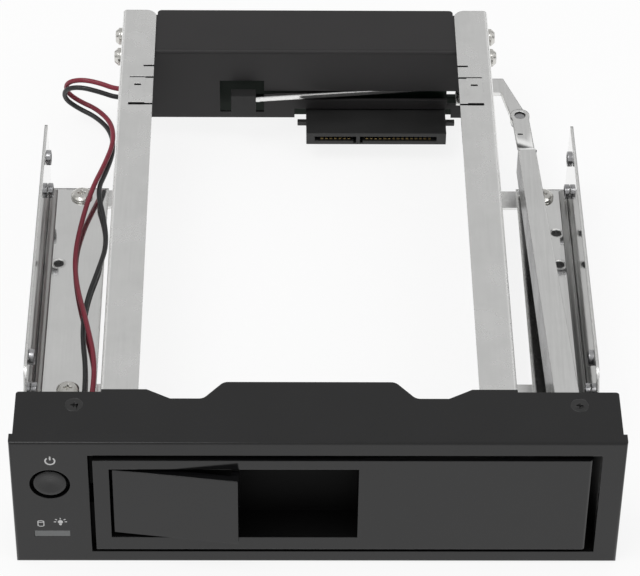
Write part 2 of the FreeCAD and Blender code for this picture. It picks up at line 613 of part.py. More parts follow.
def bezel_top():
    top = plate(hood_outline(), HOOD_CEILING, HOOD_TOP)
    turns = [(BAY_X + s * x, y, None) for s in (-1, 1) for x, y in ((HUMP_FOOT, NOTCH_Y),
                                                                    (HUMP_TOP, HUMP_Y))]
    top = rounded(top, HUMP_R, (0, 0, 1), turns)
    corners = [(s * HOOD_X, HOOD_REAR, None) for s in (-1, 1)]
    return rounded(top, HOOD_CORNER_R, (0, 0, 1), corners)


def bezel():
    """Moulded front: plate, hood behind it, hinge blocks, screw bosses and the board's posts."""
    front = box((-BEZEL_W / 2, BEZEL_W / 2), (0, PLATE_T), (0, BEZEL_H))
    rim = [edge for edge in front.Edges if abs(edge.CenterOfMass.y) < SEAT]
    front = front.makeFillet(PLATE_EDGE_R, rim)
    pieces = [bezel_top()]
    for side in (-1, 1):
        pieces.append(box((side * HOOD_X, side * (HOOD_X - HOOD_WALL)),
                          (PLATE_T, HOOD_REAR - HOOD_CORNER_R), (HOOD_INSET_Z, HOOD_TOP)))
    floor = box((-HOOD_X, HOOD_X), (PLATE_T, HOOD_REAR - HOOD_CORNER_R), (HOOD_INSET_Z, HOOD_FLOOR))
    gap_x = HOOD_X - 2 * HOOD_REAR + HOOD_FLOOR_REAR
    pieces.append(cut(floor, box((-gap_x, gap_x), (HOOD_FLOOR_REAR, HOOD_REAR),
                                 (0, HOOD_FLOOR + SHEET))))
    pieces += hinge_blocks()
    pieces += [hinge_shroud(), stop_ledge(), latch_keeper()]
    for x in TOP_SCREW_X:
        pieces.append(upright(x, TOP_SCREW_Y, TOP_BOSS_R, RAIL_TOP, HOOD_TOP - HOOD_WALL / 2))
    for x in FRONT_BOSS_X:
        pieces.append(along_y(x, FRONT_BOSS_Z, BOSS_R, PLATE_T / 2, FRONT_BOARD_Y))
    body = joined(front, *pieces)
    return cut(body, *bezel_cuts())


def hinge_blocks():
    """Blocks that hold the door's two pins, hung from the hood and standing on its floor."""
    x = (HINGE_X - HINGE_BLOCK, HINGE_X + HINGE_BLOCK)
    y = (PLATE_T / 2, HINGE_Y + HINGE_BLOCK)
    return [box(x, y, (DOOR_TOP + EDGE_GAP, HOOD_TOP - HOOD_WALL / 2)),
            box(x, y, (HOOD_INSET_Z, DOOR_BOTTOM - EDGE_GAP))]


def hinge_shroud():
    """Curved wall that closes the view past the door's hinge end, clear of its swing."""
    height = HOOD_CEILING - HOOD_FLOOR + SHEET
    low = HOOD_FLOOR - SHEET / 2
    start = math.degrees(math.asin((PLATE_T / 2 - HINGE_Y) / SHROUD_R))
    turn = SHROUD_TURN - start
    outer = Part.makeCylinder(SHROUD_R + SHROUD_T, height, V(0, 0, low), V(0, 0, 1), turn)
    inner = Part.makeCylinder(SHROUD_R, height, V(0, 0, low), V(0, 0, 1), turn)
    wall = cut(outer, inner)
    wall.rotate(V(0, 0, 0), V(0, 0, 1), start)
    wall.translate(V(HINGE_X, HINGE_Y, 0))
    return wall


def stop_ledge():
    """Ledge behind the door's left edge, notched for the handle's latch nose."""
    front = DOOR_DEPTH - DOOR_PROUD + EDGE_GAP
    left = OPENING_LEFT - LEDGE_REACH
    z = (OPENING_BOTTOM, OPENING_TOP)
    ledge = joined(box((left, OPENING_LEFT + LEDGE_REACH), (front, front + LEDGE_T), z),
                   box((left, OPENING_LEFT), (PLATE_T / 2, front + LEDGE_T), z))
    half = NOSE_H / 2 + EDGE_GAP
    return cut(ledge, box((OPENING_LEFT - LEDGE_T, OPENING_LEFT + 2 * LEDGE_REACH),
                          (PLATE_T, front + 2 * LEDGE_T), (MID_Z - half, MID_Z + half)))


def latch_keeper():
    """Blind pocket behind the ledge's notch, which the latch nose swings in."""
    half = NOSE_H / 2 + EDGE_GAP
    left = OPENING_LEFT - LEDGE_REACH
    right = OPENING_LEFT + LEDGE_REACH - EDGE_GAP
    front = DOOR_DEPTH - DOOR_PROUD + EDGE_GAP
    rear = RAIL_FRONT - EDGE_GAP
    shell = box((left, right), (front, rear), (MID_Z - half - SHEET, MID_Z + half + SHEET))
    return cut(shell, box((left + SHEET, right + SHEET), (0, rear - SHEET), (MID_Z - half, MID_Z + half)))


def bezel_cuts():
    tools = [box((OPENING_LEFT, OPENING_RIGHT), (-PLATE_T, PLATE_T), (OPENING_BOTTOM, OPENING_TOP))]
    tools.append(along_y(BUTTON_X, BUTTON_Z, BUTTON_RING_R, -PLATE_T, BUTTON_RING_DEPTH))
    tools.append(along_y(BUTTON_X, BUTTON_Z, BUTTON_R + FIT, 0, PLATE_T + EDGE_GAP))
    tools.append(box((LIGHT_X[0] - FIT, LIGHT_X[1] + FIT), (-PLATE_T, PLATE_T + EDGE_GAP),
                     (LIGHT_Z[0] - FIT, LIGHT_Z[1] + FIT)))
    for low, high in pin_spans():
        tools.append(upright(HINGE_X, HINGE_Y, HINGE_PIN_R + SEAT, low, high))
    for x in FRONT_BOSS_X:
        tools.append(along_y(x, FRONT_BOSS_Z, SMALL_SCREW_R + SEAT, PLATE_T, FRONT_BOARD_Y + SHEET))
    for x in TOP_SCREW_X:
        tools.append(upright(x, TOP_SCREW_Y, TOP_SCREW_R + SEAT, COVER_TOP, BEZEL_H))
        tools.append(top_screw_cone(x, SEAT))
    return tools


def top_screw_cone(x, grow):
    """Countersunk head, flush with the hood's top."""
    depth = TOP_SCREW_HEAD_R - TOP_SCREW_R
    return Part.makeCone(TOP_SCREW_R + grow, TOP_SCREW_HEAD_R + grow, depth,
                         V(x, TOP_SCREW_Y, HOOD_TOP - depth), V(0, 0, 1))


def bezel_screws():
    screws = []
    for x in TOP_SCREW_X:
        shaft = upright(x, TOP_SCREW_Y, TOP_SCREW_R, COVER_TOP - SHEET, HOOD_TOP - SHEET)
        screws.append(joined(top_screw_cone(x, 0), shaft))
    return Part.makeCompound(screws)


# ---- door ------------------------------------------------------------------------------------
def pin_spans():
    """Bottom and top of the lower and the upper hinge pin."""
    return [(HOOD_FLOOR / 2, DOOR_BOTTOM + KNUCKLE_H), (DOOR_TOP - KNUCKLE_H, HOOD_CEILING + SEAT)]


def hinge_pins():
    return Part.makeCompound([upright(HINGE_X, HINGE_Y, HINGE_PIN_R, low, high)
                              for low, high in pin_spans()])


def door_shell():
    """Shallow tray with its right edge rounded, so that it clears the opening as it swings."""
    front = -DOOR_PROUD
    rear = front + DOOR_DEPTH
    body = box((DOOR_LEFT, DOOR_RIGHT), (front, rear), (DOOR_BOTTOM, DOOR_TOP))
    body = rounded(body, DOOR_EDGE_R, (0, 0, 1), [(DOOR_RIGHT, front, None)])
    inside = box((DOOR_LEFT + DOOR_RIM, DOOR_RIGHT - DOOR_RIM), (DOOR_BACK, rear + SHEET),
                 (DOOR_BOTTOM + DOOR_RIM, DOOR_TOP - DOOR_RIM))
    shell = cut(body, inside)
    ribs = [box((x - DOOR_RIB_T / 2, x + DOOR_RIB_T / 2), (DOOR_BACK / 2, rear),
                (DOOR_BOTTOM, DOOR_TOP)) for x in DOOR_RIB_X]
    ribs.append(box((POCKET_RIGHT, DOOR_RIB_X[-1]), (DOOR_BACK / 2, rear),
                    (MID_Z - DOOR_RIB_T / 2, MID_Z + DOOR_RIB_T / 2)))
    return joined(shell, *ribs)


def door_recess(grow):
    """Handle recess and the deeper finger pocket; grown, the walls round them."""
    z = (RECESS_BOTTOM - grow, RECESS_TOP + grow)
    front = -DOOR_PROUD - (0 if grow else PLATE_T)
    handle = box((RECESS_LEFT - grow, POCKET_LEFT + grow), (front, RECESS_DEPTH + grow), z)
    pocket = box((POCKET_LEFT - grow, POCKET_RIGHT + grow), (front, POCKET_DEPTH + grow), z)
    return handle.fuse(pocket)


def door():
    solid = joined(door_shell(), door_recess(RECESS_WALL), *door_knuckles(), *crank_lugs())
    tools = [door_recess(0), nose_slot(), spring_rivet(SEAT)]
    tools.append(upright(HINGE_X, HINGE_Y, HINGE_PIN_R + FIT, 0, BEZEL_H))
    tools.append(upright(CRANK_X, CRANK_Y, CRANK_PIN_R + SEAT, 0, BEZEL_H))
    low, high = handle_pin_span()
    tools.append(upright(HANDLE_PIVOT_X, HANDLE_PIVOT_Y, HANDLE_PIN_R + SEAT, low, high))
    return cut(solid, *tools).removeSplitter()


def door_knuckles():
    """Two arms behind the skin that carry the hinge bores."""
    arms = []
    for low in (DOOR_BOTTOM, DOOR_TOP - KNUCKLE_H):
        arms.append(upright(HINGE_X, HINGE_Y, KNUCKLE_R, low, low + KNUCKLE_H))
        arms.append(box((HINGE_X - KNUCKLE_R, HINGE_X + KNUCKLE_R), (DOOR_BACK / 2, HINGE_Y),
                        (low, low + KNUCKLE_H)))
    return arms


def crank_lugs():
    """Two lugs with the push rod's hook between them."""
    lugs = []
    for low in crank_levels():
        lugs.append(upright(CRANK_X, CRANK_Y, CRANK_LUG_R, low, low + CRANK_LUG_T))
        lugs.append(box((CRANK_X - CRANK_LUG_R, CRANK_X + CRANK_LUG_R), (DOOR_BACK / 2, CRANK_Y),
                        (low, low + CRANK_LUG_T)))
    return lugs


def crank_levels():
    return (ROD_WEB_BOTTOM - CRANK_LUG_GAP - CRANK_LUG_T, ROD_WEB_TOP + CRANK_LUG_GAP)


def crank_pin():
    low, high = crank_levels()
    return upright(CRANK_X, CRANK_Y, CRANK_PIN_R, low, high + CRANK_LUG_T)


def nose_slot():
    """Way through the recess's wall and floor for the handle's latch nose."""
    half = NOSE_H / 2 + EDGE_GAP
    return box((RECESS_LEFT - 2 * RECESS_WALL, HANDLE_PIVOT_X - HANDLE_KNUCKLE_R),
               (HANDLE_T, RECESS_DEPTH + 2 * RECESS_WALL), (MID_Z - half, MID_Z + half))


# ---- handle ----------------------------------------------------------------------------------
def handle_pin_span():
    return (RECESS_BOTTOM - RECESS_WALL / 2, RECESS_TOP + RECESS_WALL / 2)


def handle_pin():
    low, high = handle_pin_span()
    return upright(HANDLE_PIVOT_X, HANDLE_PIVOT_Y, HANDLE_PIN_R, low, high)


def handle_flush():
    """Handle as it lies in the closed door: plate, grip lip, knuckles and latch nose."""
    face = -DOOR_PROUD
    back = face + HANDLE_T
    body = box((HANDLE_LEFT, HANDLE_RIGHT), (face, back), HANDLE_Z)
    lip = box((HANDLE_RIGHT - HANDLE_T, HANDLE_RIGHT), (face, back + HANDLE_LIP), HANDLE_Z)
    parts = [lip]
    for low in (HANDLE_Z[0], HANDLE_Z[1] - HANDLE_KNUCKLE_H):
        parts.append(upright(HANDLE_PIVOT_X, HANDLE_PIVOT_Y, HANDLE_KNUCKLE_R, low,
                             low + HANDLE_KNUCKLE_H))
    arm = [(HANDLE_LEFT + NOSE_ARM_T, face + HANDLE_T / 2), (HANDLE_LEFT + NOSE_ARM_T, NOSE_REAR),
           (NOSE_TIP_X + NOSE_ARM_T, NOSE_REAR), (NOSE_TIP_X, NOSE_FRONT + NOSE_ARM_T),
           (NOSE_TIP_X, NOSE_FRONT), (HANDLE_LEFT, NOSE_FRONT), (HANDLE_LEFT, face + HANDLE_T / 2)]
    parts.append(plate(arm, MID_Z - NOSE_H / 2, MID_Z + NOSE_H / 2))
    body = joined(body, *parts)
    bore = upright(HANDLE_PIVOT_X, HANDLE_PIVOT_Y, HANDLE_PIN_R + FIT, 0, BEZEL_H)
    return cut(body, bore)


def handle():
    body = handle_flush()
    body.rotate(V(HANDLE_PIVOT_X, HANDLE_PIVOT_Y, 0), V(0, 0, 1), -HANDLE_OUT)
    return body


def spring_rivet(grow):
    """Rivet that holds the leaf spring to the recess floor."""
    x = (HANDLE_LEFT + POCKET_LEFT) / 2
    return along_y(x, MID_Z, SMALL_SCREW_R + grow, RECESS_DEPTH - SPRING_T, RECESS_DEPTH + RECESS_WALL)


def handle_spring():
    """Leaf spring that lifts the handle's free end when the latch lets go."""
    root_x = (HANDLE_LEFT + POCKET_LEFT) / 2
    tip_x = POCKET_LEFT - 2 * HANDLE_LIP - HANDLE_T
    turn = math.radians(HANDLE_OUT)
    lift = (tip_x - HANDLE_PIVOT_X) * math.sin(turn)
    tip_y = HANDLE_PIVOT_Y - lift - (HANDLE_PIVOT_Y - HANDLE_T + DOOR_PROUD) * math.cos(turn)
    low_y = RECESS_DEPTH - SPRING_T
    flat = root_x + 2 * SMALL_SCREW_R
    leaf = [(root_x - 2 * SMALL_SCREW_R, low_y), (flat, low_y), (tip_x, tip_y + EDGE_GAP),
            (tip_x, tip_y + EDGE_GAP + SPRING_T), (flat, RECESS_DEPTH),
            (root_x - 2 * SMALL_SCREW_R, RECESS_DEPTH)]
    blade = plate(leaf, MID_Z - SPRING_H / 2, MID_Z + SPRING_H / 2)
    return joined(blade, spring_rivet(0))


# ---- button, light pipe and front board ------------------------------------------------------
def power_button():
    """Cap with a shallow dished face and a flange that keeps it behind the plate."""
    rear_r = BUTTON_FLANGE_R
    flange = BUTTON_BACK - BUTTON_FLANGE_T
    profile = [(0, BUTTON_DISH), (BUTTON_R - BUTTON_DISH, 0), (BUTTON_R, BUTTON_DISH / 2),
               (BUTTON_R, flange), (rear_r, flange), (rear_r, BUTTON_BACK), (0, BUTTON_BACK)]
    corners = [V(BUTTON_X + r, y, BUTTON_Z) for r, y in profile]
    face = Part.Face(Part.makePolygon(corners + corners[:1]))
    return face.revolve(V(BUTTON_X, 0, BUTTON_Z), V(0, 1, 0), 360)


def light_pipe():
    return box(LIGHT_X, (0, FRONT_BOARD_Y - LED_T - EDGE_GAP), LIGHT_Z)


def front_board():
    body = box(FRONT_BOARD_X, (FRONT_BOARD_Y, FRONT_BOARD_REAR), FRONT_BOARD_Z)
    holes = [along_y(x, FRONT_BOSS_Z, SMALL_SCREW_R + SEAT, FRONT_BOARD_Y - BOARD_T,
                     FRONT_BOARD_REAR + BOARD_T) for x in FRONT_BOSS_X]
    return cut(body, *holes)


def power_switch():
    """Tact switch on the front board, one tenth of a millimetre past the button's travel."""
    half = SWITCH_W / 2
    body = box((BUTTON_X - half, BUTTON_X + half), (FRONT_BOARD_Y - SWITCH_BODY, FRONT_BOARD_Y),
               (BUTTON_Z - half, BUTTON_Z + half))
    return joined(body, along_y(BUTTON_X, BUTTON_Z, SWITCH_PLUNGER_R, SWITCH_TIP,
                                FRONT_BOARD_Y - SWITCH_BODY / 2))


def status_leds():
    z = sum(LIGHT_Z) / 2
    middles = (LIGHT_X[0] + LED_W, LIGHT_X[1] - LED_W)
    return Part.makeCompound([box((x - LED_W / 2, x + LED_W / 2),
                                  (FRONT_BOARD_Y - LED_T, FRONT_BOARD_Y),
                                  (z - LED_W / 2, z + LED_W / 2)) for x in middles])


def small_screw_y(x, z, head_y, length):
    """Small pan-head screw along Y with its head to the rear."""
    return joined(along_y(x, z, SMALL_HEAD_R, head_y, head_y + SMALL_HEAD_H),
                  along_y(x, z, SMALL_SCREW_R, head_y - length, head_y))


def front_board_screws():
    return Part.makeCompound([small_screw_y(x, FRONT_BOSS_Z, FRONT_BOARD_REAR,
                                            FRONT_BOARD_REAR - PLATE_T - SHEET)
                              for x in FRONT_BOSS_X])


def lead_plug():
    """Two-way plug on the rear of the front board."""
    return box(PLUG_X, (FRONT_BOARD_REAR, FRONT_BOARD_REAR + PLUG_LEN), PLUG_Z)


# ---- rear cover and backplane ----------------------------------------------------------------
def rear_cover():
    """Bent cover over the rear end: top, front wall with its cut-outs, and two side flanges."""
    left, right = wall_inner(-1) + EDGE_GAP / 3, wall_inner(1) - EDGE_GAP / 3
    top = joined(box((left, right), (COVER_FRONT, REAR_Y - BEND_R), (COVER_TOP - SHEET, COVER_TOP)),
                 cover_tongue())
    wall = box((left, right), (COVER_FRONT, COVER_FRONT + SHEET), (COVER_BOTTOM, COVER_TOP))
    through = (COVER_FRONT - SHEET, COVER_FRONT + 2 * SHEET)
    wall = cut(wall,
               box((COVER_SLOT_LEFT, right + SHEET), through, (COVER_SLOT_BOTTOM, COVER_SLOT_TOP)),
               box((COVER_SLOT_STEP_X, right + SHEET), through, (COVER_SLOT_LOW, COVER_SLOT_TOP)),
               box(COVER_GATE_X, through, (COVER_BOTTOM - SHEET, COVER_GATE_TOP)),
               box((COVER_WINDOW[0], COVER_SLOT_LEFT), through, COVER_WINDOW[1:]))
    flanges = [box((x, x - s * SHEET), (COVER_FRONT, REAR_Y - BEND_R), (COVER_SIDE_BOTTOM, COVER_TOP))
               for s, x in ((-1, left), (1, right))]
    body = joined(top, wall, *flanges)
    body = rounded(body, BEND_R, (1, 0, 0), [(None, COVER_FRONT, COVER_TOP)])
    holes = [along_x(y, COVER_SCREW_Z, COVER_SCREW_R + SEAT, x - 2 * SHEET, x + 2 * SHEET)
             for y in COVER_SCREW_Y for x in (left, right)]
    return cut(body, *holes)


def cover_tongue():
    """Rear edge of the cover's top, between the rails' flanges and a little past their ends."""
    edges = [wall_outer(side) - side * (RAIL_FLANGE_TOP + EDGE_GAP) for side in (-1, 1)]
    rear = REAR_Y + COVER_REAR
    tongue = box(edges, (COVER_FRONT, rear), (COVER_TOP - SHEET, COVER_TOP))
    return rounded(tongue, BEND_R, (0, 0, 1), [(x, rear, None) for x in edges])


def cover_screws():
    reach = 3 * SHEET
    return Part.makeCompound([pan_screw(V(wall_outer(side), y, COVER_SCREW_Z), V(side, 0, 0),
                                        (COVER_HEAD_R, COVER_HEAD_H), (COVER_SCREW_R, reach))
                              for side in (-1, 1) for y in COVER_SCREW_Y])


def standoffs():
    """Pillars welded to the back of the cover's wall that carry the backplane."""
    pillars = []
    for x in STANDOFF_X:
        body = along_y(x, STANDOFF_Z, STANDOFF_R, COVER_FRONT + SHEET, BACK_BOARD_Y)
        pillars.append(cut(body, along_y(x, STANDOFF_Z, SMALL_SCREW_R + SEAT,
                                         COVER_FRONT + 2 * SHEET, BACK_BOARD_Y + SHEET)))
    return Part.makeCompound(pillars)


def backplane_screws():
    return Part.makeCompound([small_screw_y(x, STANDOFF_Z, BACK_BOARD_REAR,
                                            BACK_BOARD_REAR - COVER_FRONT - 3 * SHEET)
                              for x in STANDOFF_X])


def backplane():
    body = box(BACK_BOARD_X, (BACK_BOARD_Y, BACK_BOARD_REAR), BACK_BOARD_Z)
    return cut(body, *[along_y(x, STANDOFF_Z, SMALL_SCREW_R + SEAT, BACK_BOARD_Y - SHEET,
                               BACK_BOARD_REAR + SHEET) for x in STANDOFF_X])


def slot_z():
    middle = sum(RECEPTACLE_Z) / 2
    return (middle - SLOT_H / 2, middle + SLOT_H / 2)


def drive_receptacle():
    """Combined data and power receptacle that the bare drive plugs onto."""
    low, high = RECEPTACLE_Z
    nose = box(RECEPTACLE_X, (RECEPTACLE_FRONT, BACK_BOARD_Y), (low, high))
    ears = box((RECEPTACLE_X[0] - RECEPTACLE_EAR, RECEPTACLE_X[1] + RECEPTACLE_EAR),
               RECEPTACLE_EAR_Y, (high - RECEPTACLE_EAR_T, high))
    body = joined(nose, ears)
    slots = []
    for x in (DATA_SLOT, POWER_SLOT):
        slots.append(box(x, (RECEPTACLE_FRONT - SHEET, RECEPTACLE_FRONT + SLOT_DEPTH), slot_z()))
        key = (x[1] - SLOT_H / 2, x[1]) if x is DATA_SLOT else (x[0], x[0] + SLOT_H / 2)
        slots.append(box(key, (RECEPTACLE_FRONT - SHEET, RECEPTACLE_FRONT + SLOT_DEPTH),
                         (slot_z()[0] - SLOT_H / 2, slot_z()[1])))
    return cut(body, *slots)


def receptacle_contacts():
    """Gold contacts on the lower face of both slots."""
    floor = slot_z()[0]
    contacts = []
    for slot, count in ((DATA_SLOT, DATA_CONTACTS), (POWER_SLOT, POWER_CONTACTS)):
        middle = sum(slot) / 2
        for index in range(count):
            x = middle + (index - (count - 1) / 2) * CONTACT_PITCH
            contacts.append(box((x - CONTACT_W / 2, x + CONTACT_W / 2),
                                (RECEPTACLE_FRONT + CONTACT_W, RECEPTACLE_FRONT + SLOT_DEPTH),
                                (floor, floor + CONTACT_T)))
    return Part.makeCompound(contacts)


def rear_socket(x):
    """Shrouded rear socket with its blade, for the computer's cable."""
    rear = BACK_BOARD_REAR + REAR_SOCKET_LEN
    body = box(x, (BACK_BOARD_REAR, rear), REAR_SOCKET_Z)
    inside = box((x[0] + SOCKET_WALL, x[1] - SOCKET_WALL), (BACK_BOARD_REAR + SOCKET_WALL, rear + SHEET),
                 (REAR_SOCKET_Z[0] + SOCKET_WALL, REAR_SOCKET_Z[1] - SOCKET_WALL))
    blade = box((x[0] + 2 * SOCKET_WALL, x[1] - 2 * SOCKET_WALL), (BACK_BOARD_REAR, rear - SOCKET_WALL),
                (sum(REAR_SOCKET_Z) / 2 - CONTACT_W / 2, sum(REAR_SOCKET_Z) / 2 + CONTACT_W / 2))
    return joined(cut(body, inside), blade)


def lead_header():
    """Two-way header on the rear of the backplane, where the leads start."""
    return box(HEADER_X, (BACK_BOARD_REAR, BACK_BOARD_REAR + HEADER_LEN), HEADER_Z)


# ---- ejector ---------------------------------------------------------------------------------
def arm_direction():
    dx = LEVER_FRONT_B[0] - LEVER_FRONT_A[0]
    dy = LEVER_FRONT_B[1] - LEVER_FRONT_A[1]
    length = math.hypot(dx, dy)
    return dx / length, dy / length


def ejector_tab(grow):
    """Upright tab at the end of the ejector's long arm, inside the rubber boot."""
    shrink = BOOT_WALL - grow
    return box((BOOT_X[0] + shrink, BOOT_X[1]), (BOOT_Y[0] + shrink, BOOT_Y[1] - shrink),
               (BOOT_Z[0] + shrink, BOOT_Z[1] - shrink))


def ejector_lever():
    """Flat lever: a long arm to the drive's rear end and a short one out to the push rod."""
    ux, uy = arm_direction()
    ax, ay = LEVER_FRONT_A
    reach = PIVOT_X - ax
    near = (ax - uy * LEVER_ARM_W / 2, ay + ux * LEVER_ARM_W / 2)
    far = (near[0] + ux * reach, near[1] + uy * reach)
    arm = bar(near, far, LEVER_ARM_W, LEVER_Z + LEVER_RISE, LEVER_TOP + LEVER_RISE)
    arm = cut(arm, upright(PIVOT_X, PIVOT_Y, LEVER_HUB_R, LEVER_TOP, RAIL_TOP))
    hub = upright(PIVOT_X, PIVOT_Y, LEVER_HUB_R, LEVER_Z, LEVER_TOP)
    eye = upright(ROD_PIN_X, ROD_PIN_Y, LEVER_EYE_R, LEVER_Z, LEVER_TOP)
    neck = box((BOOT_X[1] - BOOT_WALL, near[0] + LEVER_ARM_W),
               (near[1] - LEVER_ARM_W / 2, near[1] + LEVER_ARM_W / 2),
               (LEVER_Z + LEVER_RISE, LEVER_TOP + LEVER_RISE))
    body = joined(arm, hub, lever_short_arm(), eye, neck, ejector_tab(0))
    return cut(body, upright(PIVOT_X, PIVOT_Y, PIVOT_R + FIT, 0, RAIL_TOP),
               upright(ROD_PIN_X, ROD_PIN_Y, ROD_PIN_R + SEAT, 0, RAIL_TOP))


def lever_short_arm():
    """Short arm: straight out of the rail's window, then forward to the push rod's pin."""
    ex, ey = LEVER_ELBOW_X, PIVOT_Y + LEVER_ELBOW_BACK
    dx, dy = ROD_PIN_X - ex, ROD_PIN_Y - ey
    length = math.hypot(dx, dy)
    side_x, side_y = -dy / length * LEVER_SHORT_W / 2, dx / length * LEVER_SHORT_W / 2
    inner_y = PIVOT_Y - LEVER_HUB_R / 2
    inner_x = ex - side_x + dx / dy * (inner_y - ey)
    outline = [(PIVOT_X, ey), (ex, ey), (ROD_PIN_X + side_x, ROD_PIN_Y + side_y),
               (ROD_PIN_X - side_x, ROD_PIN_Y - side_y), (inner_x, inner_y), (PIVOT_X, inner_y)]
    return plate(outline, LEVER_Z, LEVER_TOP)


def ejector_boot():
    body = box(BOOT_X, BOOT_Y, BOOT_Z)
    return cut(body, ejector_tab(0), ejector_lever()).Solids[0]


def headed_pin(x, y, r, low, high, head_low, head_high):
    """Rivet: a shaft between two flat heads."""
    return joined(upright(x, y, r, low, high),
                  upright(x, y, 2 * r, low - head_low, low),
                  upright(x, y, 2 * r, high, high + head_high))


def ejector_rivet():
    return headed_pin(PIVOT_X, PIVOT_Y, PIVOT_R, PIVOT_TAB_Z, LEVER_TOP + LEVER_RUN, SHEET, SHEET)


def rod_rivet():
    """Pin of the push rod, with its head under the lever and its end sunk in the rod's tail."""
    return joined(upright(ROD_PIN_X, ROD_PIN_Y, ROD_PIN_R, LEVER_Z, ROD_TAIL_Z + SHEET / 2),
                  upright(ROD_PIN_X, ROD_PIN_Y, LEVER_EYE_R - EDGE_GAP, LEVER_Z - SHEET, LEVER_Z))


# ---- push rod --------------------------------------------------------------------------------
def rod_web():
    """Top of the channel, its neck, and the hook at its front end, which opens to the right."""
    back, tip = CRANK_X - ROD_HOOK_BACK, CRANK_X + ROD_HOOK_TIP
    front, rear = CRANK_Y - ROD_HOOK_HALF, CRANK_Y + ROD_HOOK_HALF
    outline = [(ROD_NARROW_X[0], ROD_NARROW_Y), (ROD_WIDE_X[0], ROD_WIDE_Y),
               (ROD_NECK_X[0], ROD_NECK_REAR), (ROD_NECK_X[0], rear), (back, rear), (back, front),
               (tip, front), (tip, rear), (ROD_NECK_X[1], rear), (ROD_NECK_X[1], ROD_NECK_REAR),
               (ROD_WIDE_X[1], ROD_WIDE_Y), (ROD_NARROW_X[1], ROD_NARROW_Y)]
    web = plate(outline, ROD_WEB_BOTTOM, ROD_WEB_TOP)
    slot_x = CRANK_X - ROD_SLOT_BACK + ROD_SLOT_HALF
    slot = joined(box((slot_x, tip + SHEET), (CRANK_Y - ROD_SLOT_HALF, CRANK_Y + ROD_SLOT_HALF),
                      (0, RAIL_TOP)),
                  upright(slot_x, CRANK_Y, ROD_SLOT_HALF, 0, RAIL_TOP))
    return cut(web, slot)


def rod_flange(front_x, rear_x, inward):
    """Side of the channel, deeper at the front; inward is +1 or -1 along X."""
    shift = inward * SHEET
    strip = plate([(front_x, ROD_WIDE_Y), (rear_x, ROD_NARROW_Y), (rear_x + shift, ROD_NARROW_Y),
                   (front_x + shift, ROD_WIDE_Y)], ROD_WEB_TOP - ROD_DEPTH_FRONT, ROD_WEB_TOP)
    low = ROD_WEB_TOP - ROD_DEPTH_FRONT
    wedge = side_plate([(ROD_WIDE_Y - BEND_R, low - SHEET), (ROD_NARROW_Y + BEND_R, low - SHEET),
                        (ROD_NARROW_Y + BEND_R, ROD_WEB_TOP - ROD_DEPTH_REAR),
                        (ROD_WIDE_Y - BEND_R, low)], min(front_x, rear_x) - 2 * SHEET,
                       max(front_x, rear_x) + 2 * SHEET)
    return cut(strip, wedge)


def rod_tail():
    """Flat tail on the ejector's eye, joined to the channel by a sloped step."""
    step = side_plate([(ROD_NARROW_Y, ROD_WEB_BOTTOM), (ROD_JOG_REAR, ROD_TAIL_Z),
                       (ROD_JOG_REAR, ROD_TAIL_Z + SHEET), (ROD_NARROW_Y, ROD_WEB_TOP)],
                      ROD_TAIL_X[0], ROD_TAIL_X[1])
    half = (ROD_TAIL_X[1] - ROD_TAIL_X[0]) / 2
    end = [(ROD_TAIL_X[0], ROD_JOG_REAR), (ROD_TAIL_X[1], ROD_JOG_REAR),
           (ROD_PIN_X + half, ROD_PIN_Y), (ROD_PIN_X - half, ROD_PIN_Y)]
    flat = plate(end, ROD_TAIL_Z, ROD_TAIL_Z + SHEET)
    eye = upright(ROD_PIN_X, ROD_PIN_Y, LEVER_EYE_R, ROD_TAIL_Z, ROD_TAIL_Z + SHEET)
    return [step, flat, eye]


def push_rod():
    """Pressed channel that carries the door's swing back to the ejector."""
    left = rod_flange(ROD_WIDE_X[0], ROD_NARROW_X[0], 1)
    right = rod_flange(ROD_WIDE_X[1], ROD_NARROW_X[1], -1)
    body = joined(rod_web(), left, right, *rod_tail())
    mark_y = ROD_PIN_Y - ROD_MARK_AHEAD
    mark = box((ROD_MARK_X - ROD_MARK_SIZE[0] / 2, ROD_MARK_X + ROD_MARK_SIZE[0] / 2),
               (mark_y - ROD_MARK_SIZE[1] / 2, mark_y + ROD_MARK_SIZE[1] / 2), (0, RAIL_TOP))
    return cut(body, upright(ROD_PIN_X, ROD_PIN_Y, ROD_PIN_R + FIT, 0, RAIL_TOP), mark)


# ---- assembly --------------------------------------------------------------------------------
def leads():
    """Red and black lead from the backplane to the front board."""
    made = {}
    for name, route in (("lead_red", RED_ROUTE), ("lead_black", BLACK_ROUTE)):
        solid, length, radii = tube(route, LEAD_R)
        expected = math.pi * LEAD_R ** 2 * length
        print(name, "length %.1f" % length, "volume ratio %.4f" % (solid.Volume / expected),
              "radii", " ".join("%.1f" % r for r in radii))
        made[name] = solid
    return made


